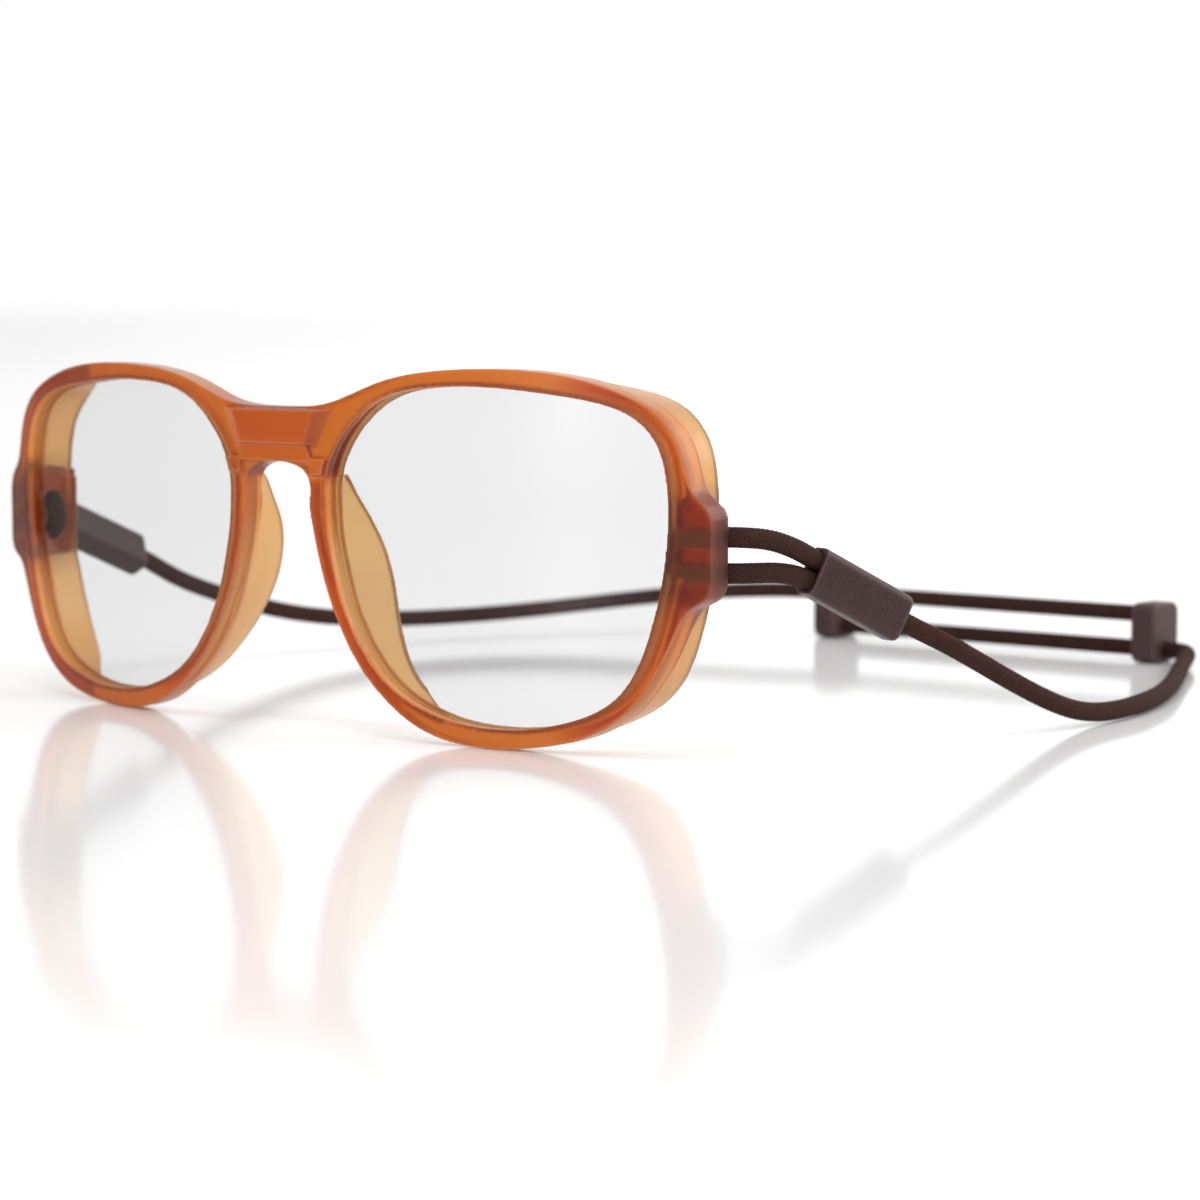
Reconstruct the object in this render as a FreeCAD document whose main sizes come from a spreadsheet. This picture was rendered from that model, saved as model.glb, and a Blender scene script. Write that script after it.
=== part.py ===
import FreeCAD, Part
import math
import os
import Sketcher

# Glacier glasses without temple arms: a one-piece front, two lenses and a braided cord loop.
# Frame of the part: origin at the middle of the bridge's flat front panel, +X towards the
# wearer's left, +Y rearwards towards the wearer, +Z up. Millimetres.
# A "height" in a table is measured from the plane the rims stand on.

Vector = FreeCAD.Vector
UP = Vector(0, 0, 1)
FORWARD = Vector(0, -1, 0)
QUARTER = math.pi / 2
doc = FreeCAD.newDocument("glacier_glasses")

# ---------------------------------------------------------------- driving dimensions
sheet = doc.addObject("Spreadsheet::Sheet", "dims")
DIMS = [
    ("front_width", 138.2),      # over the two cord lugs
    ("face_drop", 43.0),         # bridge panel centre above the plane the rims stand on
    ("face_back", 0.92),         # front surface behind the bridge panel, at the middle
    ("wrap_radius", 230.0),      # radius the front is curved to, about a vertical axis
    ("rim_depth", 3.6),          # front to back thickness of the rims
    ("lip_depth", 1.2),          # front lip that the lens seats behind
    ("lens_thick", 1.8),
    ("lens_seat", 0.6),          # radial depth of the lens groove
    ("seat_gap", 0.05),          # clearance round the lens in its groove
    ("tall", 130.0),             # height of construction cylinders and prisms
    ("deep", 50.0),              # depth of construction extrusions
    ("shield_start", 5.0),
    ("shield_end", 20.2),
    ("shield_reach", 19.1),      # rear edge of the side shields
    ("flange_start", 3.4),
    ("flange_end", 13.4),
    ("shield_wall", 1.35),
    ("flange_wall", 1.25),
    ("panel_depth", 1.5),
    ("band_front", 0.5),
    ("lug_front", 11.5),
    ("lug_rear", 18.6),
    ("cord_dia", 2.8),
    ("tunnel_dia", 3.0),         # cord tunnel through the lug
    ("cord_pitch", 4.8),         # spacing of the two cord legs at the lug
    ("sleeve_length", 16.3),
    ("sleeve_tall", 6.8),
    ("sleeve_thick", 4.4),
    ("sleeve_corner", 1.3),
    ("sleeve_bore_tall", 5.9),
    ("sleeve_bore_thick", 3.0),
    ("sleeve_bore_depth", 10.6),
    ("sleeve_exit_dia", 3.0),
    ("sleeve_end_round", 0.9),
    ("splice_start", 5.1),       # from the sleeve's mouth
    ("splice_length", 4.6),
    ("block_length", 4.6),       # slider block, along the strands
    ("block_width", 8.4),
    ("block_height", 10.0),
    ("block_corner", 1.8),
    ("block_edge", 0.55),
    ("strand_half_pitch", 2.9),
    ("slide_bore_dia", 2.9),
    ("ferrule_dia", 3.5),
    ("ferrule_length", 2.2),
    ("ferrule_bore_dia", 2.84),
    ("ferrule_bore_depth", 1.8),
    ("cavity_dia", 3.54),
    ("cavity_length", 2.24),
    ("ferrule_inset", 1.2),      # cavity's open end behind the block's face
    ("block_left_x", 54.6),
    ("block_right_x", -10.5),
    ("strand_y", 154.5),
    ("block_mid_z", -38.0),
    ("split_offset", 1.0),       # end of a run, outwards from its block's middle
    ("tail_gap", 0.12),          # between the end of a run and the start of its tail
    ("tail_end_gap", 0.1),       # allowance at the tail's far end, in the ferrule
]
for row, (alias, value) in enumerate(DIMS, start=1):
    sheet.set("A%d" % row, alias)
    sheet.set("B%d" % row, str(value))
    sheet.setAlias("B%d" % row, alias)
doc.recompute()


def dim(name):
    return float(sheet.get(name))


DROP = dim("face_drop")

# ---------------------------------------------------------------- outline tables
# (x, height) of the front's outer edge, left half, from the top middle round to the bottom middle
OUTER = [
    (0, 45.75), (3.6, 45.78), (7.4, 46.0), (10.5, 46.55), (13.2, 47.4), (16.2, 48.5), (19.8, 49.65),
    (23.8, 50.5), (28.2, 51.05), (33, 51.35), (39, 51.4), (45, 51.05), (51, 50.1), (56.4, 48.5),
    (60.7, 46.4), (63.6, 43.5), (65.1, 40.2), (65.8, 37.4), (66.6, 35.4), (68.2, 33.7),
    (68.95, 32.0), (69.1, 29.6), (69.1, 24.6), (68.95, 22.7), (68.0, 21.3), (66.1, 20.1),
    (64.8, 18.2), (63.2, 14.6), (61.3, 10.9), (58.9, 7.5), (55.6, 4.6), (51.5, 2.4), (46.5, 0.95),
    (41, 0.2), (36, 0.0), (31, 0.4), (26.5, 1.6), (22.5, 3.6), (19, 6.2), (16, 9.1), (13.5, 12.4),
    (11.4, 16.0), (9.7, 19.7), (8.4, 23.3), (7.4, 26.8), (6.7, 29.8), (6.4, 32.0), (6.5, 34.2),
    (6.2, 35.7), (5.3, 36.8), (3.8, 37.5), (1.9, 37.9), (0, 38.0),
]
# (x, height) round the left lens opening
OPENING = [
    (9.4, 33.0), (9.6, 36.0), (10.5, 38.7), (12.1, 41.3), (14.4, 43.8), (17.4, 46.1), (21.3, 47.8),
    (26.0, 48.65), (31.0, 48.95), (36.0, 48.95), (41.5, 48.6), (47.5, 47.95), (53.6, 46.95),
    (58.2, 45.2), (61.2, 42.3), (62.6, 38.6), (63.1, 34.4), (63.1, 30.5), (62.7, 26.0),
    (61.8, 21.0), (60.4, 15.9), (58.5, 11.3), (55.8, 7.8), (52.3, 5.55), (48.0, 4.05), (43.5, 3.1),
    (39.0, 2.75), (34.3, 2.9), (30.0, 3.55), (26.2, 4.7), (22.6, 6.3), (19.4, 8.5), (16.6, 11.4),
    (14.3, 14.7), (12.5, 18.3), (11.1, 22.3), (10.1, 26.3), (9.55, 29.8),
]
WIDTH_SCALE = dim("front_width") / (2 * max(x for x, height in OUTER))


def to_frame(points):
    return [(x * WIDTH_SCALE, height - DROP) for x, height in points]


def closed_curve(points):
    curve = Part.BSplineCurve()
    curve.interpolate(Points=[Vector(x, z, 0) for x, z in points], PeriodicFlag=True)
    return curve


def in_two(curve, share=0.25):
    """A closed curve as two arcs that meet smoothly, parted away from where it starts."""
    start, end = curve.FirstParameter, curve.LastParameter
    first = curve.copy()
    first.segment(start + (end - start) * share, start + (end - start) * (share + 0.5))
    second = curve.copy()
    second.segment(start + (end - start) * (share + 0.5), end + (end - start) * share)
    return [first, second]


opening_points = to_frame(OPENING)
opening_curve = closed_curve(opening_points)


def widened(distance, count=44):
    """The lens opening moved outwards by distance, as two arcs."""
    start, end = opening_curve.FirstParameter, opening_curve.LastParameter
    middle = Vector(
        sum(x for x, z in opening_points) / len(opening_points),
        sum(z for x, z in opening_points) / len(opening_points),
        0,
    )
    points = []
    for i in range(count):
        parameter = start + (end - start) * i / count
        point = opening_curve.value(parameter)
        tangent = opening_curve.tangent(parameter)[0]
        normal = Vector(tangent.y, -tangent.x, 0)
        normal.normalize()
        if normal.dot(point - middle) < 0:
            normal = normal * -1
        points.append((point.x + normal.x * distance, point.y + normal.y * distance))
    return in_two(closed_curve(points))


# ---------------------------------------------------------------- document helpers
BEHIND_Y = 40            # sketch plane behind the whole front
CYLINDER_MID_Z = -15
PRISM_BASE_Z = -60


def polyline(points):
    corners = [Vector(a, b, 0) for a, b in points]
    return [Part.LineSegment(a, b) for a, b in zip(corners, corners[1:] + corners[:1])]


def placed_sketch(name, placement, curves):
    sketch = doc.addObject("Sketcher::SketchObject", name)
    sketch.Placement = placement
    for curve in curves:
        sketch.addGeometry(curve, False)
    return sketch


def upright_sketch(name, curves, y=0, alias=None):
    """A sketch that stands upright, its normal along -Y, at depth y or at a sheet cell."""
    placement = FreeCAD.Placement(Vector(0, y, 0), FreeCAD.Rotation(Vector(1, 0, 0), 90))
    sketch = placed_sketch(name, placement, curves)
    if alias:
        sketch.setExpression("Placement.Base.y", "dims.%s" % alias)
    return sketch


def extrude(name, sketch, direction, alias):
    extrusion = doc.addObject("Part::Extrusion", name)
    extrusion.Base = sketch
    extrusion.DirMode = "Custom"
    extrusion.Dir = direction
    extrusion.Solid = True
    extrusion.setExpression("LengthFwd", "dims.%s" % alias)
    return extrusion


def forward_block(name, sketch_name, curves, y=BEHIND_Y):
    """An upright outline drawn forwards from depth y."""
    return extrude(name, upright_sketch(sketch_name, curves, y), FORWARD, "deep")


def prism_up(name, points):
    """A prism standing on a plan outline (x, y)."""
    placement = FreeCAD.Placement(Vector(0, 0, PRISM_BASE_Z), FreeCAD.Rotation())
    return extrude(name, placed_sketch(name + "_plan", placement, polyline(points)), UP, "tall")


def cut(name, base, tool):
    result = doc.addObject("Part::Cut", name)
    result.Base, result.Tool = base, tool
    result.Refine = False
    return result


def combine(kind, name, shapes):
    result = doc.addObject(kind, name)
    result.Shapes = shapes
    result.Refine = False
    return result


def common(name, first, second):
    return combine("Part::MultiCommon", name, [first, second])


def fuse(name, shapes):
    return combine("Part::MultiFuse", name, shapes)


def mirrored(name, source):
    mirror = doc.addObject("Part::Mirroring", name)
    mirror.Source = source
    mirror.Normal = Vector(1, 0, 0)
    mirror.Base = Vector(0, 0, 0)
    return mirror


def both_sides(name, left):
    return fuse(name, [left, mirrored(left.Name + "_right", left)])


def loft(name, sections):
    result = doc.addObject("Part::Loft", name)
    result.Sections = sections
    result.Solid = True
    result.Ruled = False
    return result


def wrap_cylinder(name, depth_expr):
    """Everything behind the curved surface that lies at a depth behind the front surface."""
    cylinder = doc.addObject("Part::Cylinder", name)
    cylinder.setExpression("Radius", "dims.wrap_radius - (%s)" % depth_expr)
    cylinder.setExpression("Height", "dims.tall")
    cylinder.Placement.Base = Vector(0, 0, -dim("tall") / 2 + CYLINDER_MID_Z)
    cylinder.setExpression("Placement.Base.y", "dims.face_back + dims.wrap_radius")
    return cylinder


def shell_between(name, outer_expr, inner_expr):
    """The curved layer between two depths behind the front surface."""
    return cut(name, wrap_cylinder(name + "_a", outer_expr), wrap_cylinder(name + "_b", inner_expr))


# ---------------------------------------------------------------- front plate and bridge
# (x, z) of the raised bridge panel's front and rear faces; its flanks slope between them
PANEL_FRONT = [(-6.2, -2.5), (6.2, -2.5), (8.05, 2.35), (-8.05, 2.35)]
PANEL_REAR = [(-8.6, -2.75), (8.6, -2.75), (11.6, 2.72), (-11.6, 2.72)]
# (x, z) of the stepped band under the panel
BAND = [
    (-10.6, -6.75), (-10.6, -4.4), (-7.2, -4.4), (-6.3, -2.55), (-3.2, -2.25), (0, -2.15),
    (3.2, -2.25), (6.3, -2.55), (7.2, -4.4), (10.6, -4.4), (10.6, -6.75), (6.9, -6.75),
    (6.9, -5.0), (-6.9, -5.0), (-6.9, -6.75),
]
BAND_REAR_Y = 2.6
BAND_LIMIT_SPAN = 40     # width and height of the box that trims the band's front
BAND_LIMIT_DEPTH = 4
BAND_MARGIN = 0.5        # band kept back from the lens openings


def make_outline_block():
    """The front's outer edge: the table, then its mirror image back to the start."""
    left = to_frame(OUTER)
    right = [(-x, z) for x, z in reversed(left[1:-1])]
    arcs = in_two(closed_curve(left + right), 0.26)
    return forward_block("front_outline_block", "front_outline", arcs)


def make_panel():
    front = upright_sketch("bridge_panel_front", polyline(PANEL_FRONT))
    rear = upright_sketch("bridge_panel_rear", polyline(PANEL_REAR), alias="panel_depth")
    return loft("bridge_panel", [front, rear])


def make_band(outline_block):
    block = forward_block("bridge_band_block", "bridge_band_outline", polyline(BAND), BAND_REAR_Y)
    limit = doc.addObject("Part::Box", "bridge_band_limit")
    limit.Length = limit.Height = BAND_LIMIT_SPAN
    limit.Width = BAND_LIMIT_DEPTH
    limit.Placement.Base = Vector(-BAND_LIMIT_SPAN / 2, 0, -BAND_LIMIT_SPAN / 2)
    limit.setExpression("Placement.Base.y", "dims.band_front")
    trim = common("bridge_band_trim", block, limit)
    whole = common("bridge_band_whole", trim, outline_block)
    margin = forward_block("lens_margin_block", "lens_margin", widened(BAND_MARGIN))
    return cut("bridge_band", whole, both_sides("lens_margins", margin))


def make_front():
    outline_block = make_outline_block()
    plate = common(
        "front_plate", outline_block, shell_between("rim_layer", "0", "dims.rim_depth")
    )
    panel = make_panel()
    band = make_band(outline_block)
    opening = forward_block("lens_opening_block", "lens_opening", in_two(opening_curve))
    opened = cut("front_plate_opened", plate, both_sides("lens_openings", opening))
    return fuse("front_with_bridge", [opened, panel, band])


# ---------------------------------------------------------------- lens grooves and lenses
def make_seats():
    block = forward_block("lens_seat_block", "lens_seat_outline", widened(dim("lens_seat")))
    layer = shell_between(
        "lens_seat_layer", "dims.lip_depth", "dims.lip_depth + dims.lens_thick + 2 * dims.seat_gap"
    )
    return both_sides("lens_seats", common("lens_seat_space", block, layer))


def make_lenses():
    arcs = widened(dim("lens_seat") - dim("seat_gap"))
    block = forward_block("lens_block", "lens_outline", arcs)
    layer = shell_between(
        "lens_layer",
        "dims.lip_depth + dims.seat_gap",
        "dims.lip_depth + dims.seat_gap + dims.lens_thick",
    )
    left = common("lens_left", block, layer)
    return [left, mirrored("lens_right", left)]


# ---------------------------------------------------------------- side shields and nose flanges
# (x, y) plan of the space the left side shield fills
REACH = dim("shield_reach")
SHIELD_ZONE = [
    (41.5, 6.6), (42.5, 7.6), (45, 9.0), (47.3, 10.5), (49.5, 12.2), (51.5, 13.9), (53.4, 15.6),
    (55.4, REACH - 2.1), (57.4, REACH - 1.1), (59.4, REACH - 0.4), (61.4, REACH - 0.1),
    (63.5, REACH), (80, REACH), (80, 6.6),
]
# (y, height) of the nose flange's rear edge, from the top down
FLANGE_REAR = [
    (6.2, 36.2), (7.2, 34.9), (8.6, 32.6), (9.9, 30.6), (11.2, 28.2), (12.1, 25.6), (12.45, 23.0),
    (12.4, 20.4), (12.0, 18.0), (11.2, 15.0), (10.2, 11.8), (9.3, 9.0), (8.6, 6.4), (8.0, 3.0),
    (7.4, -3.0),
]
FLANGE_ZONE_FRONT_Y = 2.5
# (x, y) plan in which the flange fades out away from the nose
FLANGE_FADE = [
    (2, 2), (2, 14), (14.5, 14), (17, 11.4), (20, 9.5), (23, 8.0), (26, 6.8), (29.5, 5.7),
    (34, 4.6), (34, 2),
]


def wall_ring(name, prefix, front_offset, rear_offset):
    """A wall round the lens opening, between outlines widened by the two offsets."""
    solids = []
    for layer, inset in (("outer", 0.0), ("inner", dim(prefix + "_wall"))):
        sections = []
        for end, alias, offset in (
            ("front", prefix + "_start", front_offset),
            ("rear", prefix + "_end", rear_offset),
        ):
            sketch_name = "%s_%s_%s" % (name, layer, end)
            sections.append(upright_sketch(sketch_name, widened(offset - inset), alias=alias))
        solids.append(loft("%s_%s" % (name, layer), sections))
    return cut(name + "_ring", solids[0], solids[1])


def make_shield():
    ring = wall_ring("side_shield", "shield", front_offset=2.75, rear_offset=1.5)
    trim = common("side_shield_trim", ring, prism_up("side_shield_zone", SHIELD_ZONE))
    # starts at the middle of the rim's thickness, so that the shield grows out of the rim's back
    behind = wrap_cylinder("side_shield_behind", "dims.rim_depth / 2")
    return common("side_shield", trim, behind)


def make_flange():
    ring = wall_ring("nose_flange", "flange", front_offset=2.35, rear_offset=0.45)
    edge = Part.BSplineCurve()
    edge.interpolate(Points=[Vector(y, height - DROP, 0) for y, height in FLANGE_REAR])
    top, bottom = edge.value(edge.FirstParameter), edge.value(edge.LastParameter)
    front_top = Vector(FLANGE_ZONE_FRONT_Y, top.y, 0)
    front_bottom = Vector(FLANGE_ZONE_FRONT_Y, bottom.y, 0)
    # the sketch stands at x = 1: its local x is +Y of the part and its local y is +Z
    side_placement = FreeCAD.Placement(
        FreeCAD.Matrix(0, 0, 1, 1, 1, 0, 0, 0, 0, 1, 0, 0, 0, 0, 0, 1)
    )
    side = placed_sketch("nose_flange_side", side_placement, [
        edge,
        Part.LineSegment(bottom, front_bottom),
        Part.LineSegment(front_bottom, front_top),
        Part.LineSegment(front_top, top),
    ])
    zone = extrude("nose_flange_zone", side, Vector(1, 0, 0), "deep")
    fade = prism_up("nose_flange_fade", FLANGE_FADE)
    return common("nose_flange", common("nose_flange_cut", ring, zone), fade)


# ---------------------------------------------------------------- cord lugs at the temples
# (x, height) of the lug's and its inner boss's end outlines
LUG_FRONT = [
    (64.6, 35.2), (66.1, 34.7), (67.6, 33.1), (68.1, 32.0), (68.1, 22.9), (67.6, 21.8),
    (66.0, 20.8), (64.6, 20.4),
]
LUG_REAR = [
    (62.0, 34.2), (64.8, 33.9), (66.0, 33.1), (66.6, 31.9), (66.6, 23.0), (66.0, 21.9),
    (64.8, 21.1), (62.0, 20.8),
]
BOSS_FRONT = [(63.1, 34.6), (66.0, 34.6), (66.0, 20.4), (63.1, 20.4)]
BOSS_REAR = [(61.6, 32.9), (66.0, 33.1), (66.0, 21.9), (61.6, 22.1)]
BOSS_FRONT_Y = 13.4


def lug_profile(points):
    return polyline([(x, height - DROP) for x, height in points])


def make_lug():
    front = upright_sketch("lug_front_outline", lug_profile(LUG_FRONT), alias="lug_front")
    rear = upright_sketch("lug_rear_outline", lug_profile(LUG_REAR), alias="lug_rear")
    return loft("lug_outer", [front, rear])


def make_boss():
    front = upright_sketch("lug_boss_front", lug_profile(BOSS_FRONT), BOSS_FRONT_Y)
    rear = upright_sketch("lug_boss_rear", lug_profile(BOSS_REAR), alias="lug_rear")
    return loft("lug_boss", [front, rear])


# ---------------------------------------------------------------- cord paths
CORD_RADIUS = dim("cord_dia") / 2
HALF_PITCH = dim("cord_pitch") / 2
SLEEVE_LEG = 1.46        # half the spacing of the two legs inside the sleeve
TUNNEL_LEG = 9           # length of the tunnel's straight legs
TURN = (63.6, 14.9, 27.1)        # (x, y, height) of the left half turn's centre
OUTWARD = (0.94, 0.341)          # (x, y) heading of the left tunnel's legs


def table_points(points):
    return [Vector(x, y, height - DROP) for x, y, height in points]


class CordSide:
    """One side's cord: its turn in the lug, its sleeve's mouth, direction and roll, its path."""

    def __init__(self, side, sign, mouth, tail, roll, upper_knee, lower_knee, run, settle):
        self.side = side
        self.sign = sign
        self.upper_knee, self.lower_knee = table_points(upper_knee), table_points(lower_knee)
        self.run = table_points(run)
        self.settle = settle
        self.turn = Vector(sign * TURN[0], TURN[1], TURN[2] - DROP)
        self.outward = Vector(sign * OUTWARD[0], OUTWARD[1], 0)
        self.outward.normalize()
        self.mouth, tail_point = table_points([mouth, tail])
        self.axis = tail_point - self.mouth
        self.axis.normalize()
        sideways = self.axis.cross(UP)
        sideways.normalize()
        upward = sideways.cross(self.axis)
        upward.normalize()
        angle = math.radians(roll) * sign
        self.tall = upward * math.cos(angle) + sideways * math.sin(angle)
        self.tall.normalize()
        self.flat = self.axis.cross(self.tall)

    def at(self, along, across=0.0):
        """A point along the sleeve from its mouth, and across it towards the upper leg."""
        return self.mouth + self.axis * along + self.tall * across

    def placement(self):
        """The sleeve's own axes: x across the two cords, z along the sleeve."""
        tall, flat, axis, mouth = self.tall, self.flat, self.axis, self.mouth
        return FreeCAD.Placement(FreeCAD.Matrix(
            tall.x, flat.x, axis.x, mouth.x,
            tall.y, flat.y, axis.y, mouth.y,
            tall.z, flat.z, axis.z, mouth.z,
            0, 0, 0, 1,
        ))


# All stations are (x, y, height). The knees lead from the lug to the sleeve, the run from the
# sleeve to the slider block. Settle is how far forward of the strand the run meets the block.
LEFT = CordSide(
    "left", 1, mouth=(72.4, 29.5, 24.5), tail=(77.5, 43.1, 17.1), roll=0,
    upper_knee=[
        (69.35, 17.25, 29.48), (70.9, 19.3, 29.3), (71.75, 22.4, 28.7), (72.35, 26.0, 27.5),
    ],
    lower_knee=[
        (69.35, 17.25, 24.72), (70.75, 19.3, 24.72), (71.4, 22.2, 24.6), (71.8, 25.3, 24.2),
    ],
    run=[
        (80.7, 50.6, 13.2), (83.4, 57.6, 9.3), (85.8, 65.8, 5.2), (87.3, 73.6, 2.45),
        (87.9, 81.5, 1.5), (87.3, 90.0, 1.44), (85.2, 99.5, 1.44), (81.6, 110.0, 1.44),
        (76.6, 121.6, 1.44), (71.2, 133.0, 1.5), (67.2, 141.5, 1.7), (64.9, 147.2, 1.9),
        (63.2, 151.0, 2.05), (61.0, 153.6, 2.1),
    ],
    settle=0.06,
)
RIGHT = CordSide(
    "right", -1, mouth=(-70.9, 24.2, 25.2), tail=(-69.9, 38.6, 18.9), roll=35,
    upper_knee=[(-69.0, 17.0, 29.42), (-70.25, 18.3, 29.05), (-70.95, 20.4, 28.3)],
    lower_knee=[(-69.1, 17.0, 24.78), (-70.6, 18.2, 24.95), (-71.4, 20.4, 25.05)],
    run=[
        (-69.5, 46.0, 15.2), (-68.3, 56.0, 11.3), (-66.3, 70.0, 7.4), (-63.6, 85.0, 5.2),
        (-60.0, 99.0, 4.5), (-55.3, 112.0, 4.6), (-49.3, 124.5, 5.3), (-41.8, 135.8, 6.4),
        (-33.5, 144.6, 7.3), (-25.0, 150.7, 7.8), (-18.2, 153.8, 7.9),
    ],
    settle=0.03,
)


def shape_object(name, shape):
    feature = doc.addObject("Part::Feature", name)
    feature.Shape = shape
    return feature


def make_tunnel(cord):
    """The cord's way through the lug: two legs and a half turn round the web between them."""
    turn, out = cord.turn, cord.outward
    upper, lower = turn + UP * HALF_PITCH, turn - UP * HALF_PITCH
    spine = Part.Wire([
        Part.makeLine(upper + out * TUNNEL_LEG, upper),
        Part.Arc(upper, turn - out * HALF_PITCH, lower).toShape(),
        Part.makeLine(lower, lower + out * TUNNEL_LEG),
    ])
    mouth = Part.Wire([Part.makeCircle(dim("tunnel_dia") / 2, upper + out * TUNNEL_LEG, out)])
    return shape_object("cord_tunnel_" + cord.side, spine.makePipeShell([mouth], True, False))


def make_frame():
    front = make_front()
    seats = make_seats()
    rear_left = fuse("rear_parts_left", [make_shield(), make_flange(), make_lug(), make_boss()])
    rear_right = mirrored("rear_parts_right", rear_left)
    tunnels = fuse("cord_tunnels", [make_tunnel(LEFT), make_tunnel(RIGHT)])
    body = fuse("front_fused", [front, rear_left, rear_right])
    seated = cut("front_seated", body, seats)
    return cut("frame_front", seated, tunnels)


# ---------------------------------------------------------------- cords
LOOP_SPACING = 2.6       # nominal length of each pair of arcs along a loop
RUN_SPACING = 3.0        # and along a run
LOOP_SPLICE_GAP = 0.2    # loop ends short of the splice
RUN_SPLICE_GAP = 0.05    # run starts past the splice
TURN_POINTS = 9


def arc_from(start, heading, end):
    """Centre, axis and angle of the arc that leaves start along heading and reaches end."""
    chord = end - start
    inward = chord - heading * chord.dot(heading)
    if inward.Length < 1e-4 * chord.Length:
        return None
    radius = chord.Length ** 2 / (2 * inward.Length)
    inward.normalize()
    angle = 2 * math.atan2(chord.dot(inward), chord.dot(heading))
    return start + inward * radius, heading.cross(inward), angle


def arc_joints(curve, spacing):
    """Points along a curve at which a chain of tangent arcs meets, two arcs to a step."""
    count = max(4, int(round(curve.length() / spacing)))
    parameters = [
        curve.parameterAtDistance(curve.length() * i / count, curve.FirstParameter)
        for i in range(count + 1)
    ]
    points = [curve.value(parameter) for parameter in parameters]
    tangents = [curve.tangent(parameter)[0] for parameter in parameters]
    joints = [points[0]]
    for i in range(count):
        start, end = points[i], points[i + 1]
        leaving, arriving = tangents[i], tangents[i + 1]
        # reach is the distance from either end to the corner of its arc's tangents
        chord = end - start
        bend = 2 * (1 - leaving.dot(arriving))
        slope = chord.dot(leaving + arriving)
        if bend < 1e-9:
            reach = chord.dot(chord) / (2 * slope)
        else:
            reach = (-slope + math.sqrt(slope * slope + bend * chord.dot(chord))) / bend
        joints += [(start + end + (leaving - arriving) * reach) * 0.5, end]
    return joints


def cord_circle(centre, heading, side):
    circle = Part.Circle(centre, heading, CORD_RADIUS)
    circle.XAxis = side
    return Part.Wire([circle.toShape()])


def tube(points, spacing):
    """A round cord along a smooth path through points, as a chain of arcs that meet tangent."""
    curve = Part.BSplineCurve()
    curve.interpolate(Points=points)
    joints = arc_joints(curve, spacing)
    heading = curve.tangent(curve.FirstParameter)[0]
    side = heading.cross(UP)
    side.normalize()
    faces = [Part.Face(cord_circle(joints[0], heading, side))]
    for start, end in zip(joints, joints[1:]):
        circle = cord_circle(start, heading, side)
        arc = arc_from(start, heading, end)
        if arc is None:
            faces += circle.extrude(end - start).Faces
            heading = end - start
            heading.normalize()
        else:
            centre, axis, angle = arc
            faces += circle.revolve(centre, axis, math.degrees(angle)).Faces
            turn = FreeCAD.Rotation(axis, math.degrees(angle))
            heading = turn.multVec(heading)
            side = turn.multVec(side)
    faces.append(Part.Face(cord_circle(joints[-1], heading, side)))
    shell = Part.makeShell(faces)
    shell.sewShape()
    solid = Part.Solid(shell)
    if solid.Volume < 0:
        solid.reverse()
    expected = math.pi * CORD_RADIUS ** 2 * curve.length()
    if not solid.isClosed() or abs(solid.Volume - expected) > 0.01 * expected:
        raise RuntimeError("a cord did not close")
    return solid


def make_loop(cord):
    """From the sleeve through the lug's tunnel and back into the sleeve, upper leg first."""
    turn, out = cord.turn, cord.outward
    end = dim("splice_start") - LOOP_SPLICE_GAP
    upper, lower = turn + UP * HALF_PITCH, turn - UP * HALF_PITCH
    points = [cord.at(along, SLEEVE_LEG) for along in (end, end * 0.5, 0.0)]
    points += reversed(cord.upper_knee)
    points += [upper + out * 4.0, upper + out * 2.0]
    for i in range(TURN_POINTS):
        angle = math.pi * i / (TURN_POINTS - 1)
        points.append(
            turn + UP * (HALF_PITCH * math.cos(angle)) - out * (HALF_PITCH * math.sin(angle))
        )
    points += [lower + out * 2.0, lower + out * 4.0]
    points += cord.lower_knee
    points += [cord.at(along, -SLEEVE_LEG) for along in (0.0, end * 0.5, end)]
    return shape_object("cord_%s_loop" % cord.side, tube(points, LOOP_SPACING))


def make_splice(cord):
    """Stitched splice: two legs side by side narrowing into the single cord."""
    legs_tall = 2 * SLEEVE_LEG + 2 * CORD_RADIUS
    half_flat = CORD_RADIUS - 0.04
    least_straight = 0.2
    sections = []
    # share of the splice's length, height of the section across the two legs
    for share, tall in (
        (0.0, legs_tall - 0.1), (0.35, legs_tall - 0.3), (0.75, 3.7), (1.0, 2 * CORD_RADIUS),
    ):
        centre = cord.at(dim("splice_start") + dim("splice_length") * share)
        straight = max(tall / 2 - half_flat, least_straight)
        corners = [
            centre + cord.tall * (across * straight) + cord.flat * (over * half_flat)
            for across, over in ((1, 1), (1, -1), (-1, -1), (-1, 1))
        ]
        upper_mid = centre + cord.tall * (straight + half_flat)
        lower_mid = centre - cord.tall * (straight + half_flat)
        sections.append(Part.Wire([
            Part.Arc(corners[0], upper_mid, corners[1]).toShape(),
            Part.makeLine(corners[1], corners[2]),
            Part.Arc(corners[2], lower_mid, corners[3]).toShape(),
            Part.makeLine(corners[3], corners[0]),
        ]))
    return shape_object("cord_splice_" + cord.side, Part.makeLoft(sections, True))


def strand_z(cord):
    """The left cord's strand is the lower one and the right cord's the upper one."""
    return dim("block_mid_z") - cord.sign * dim("strand_half_pitch")


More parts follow.
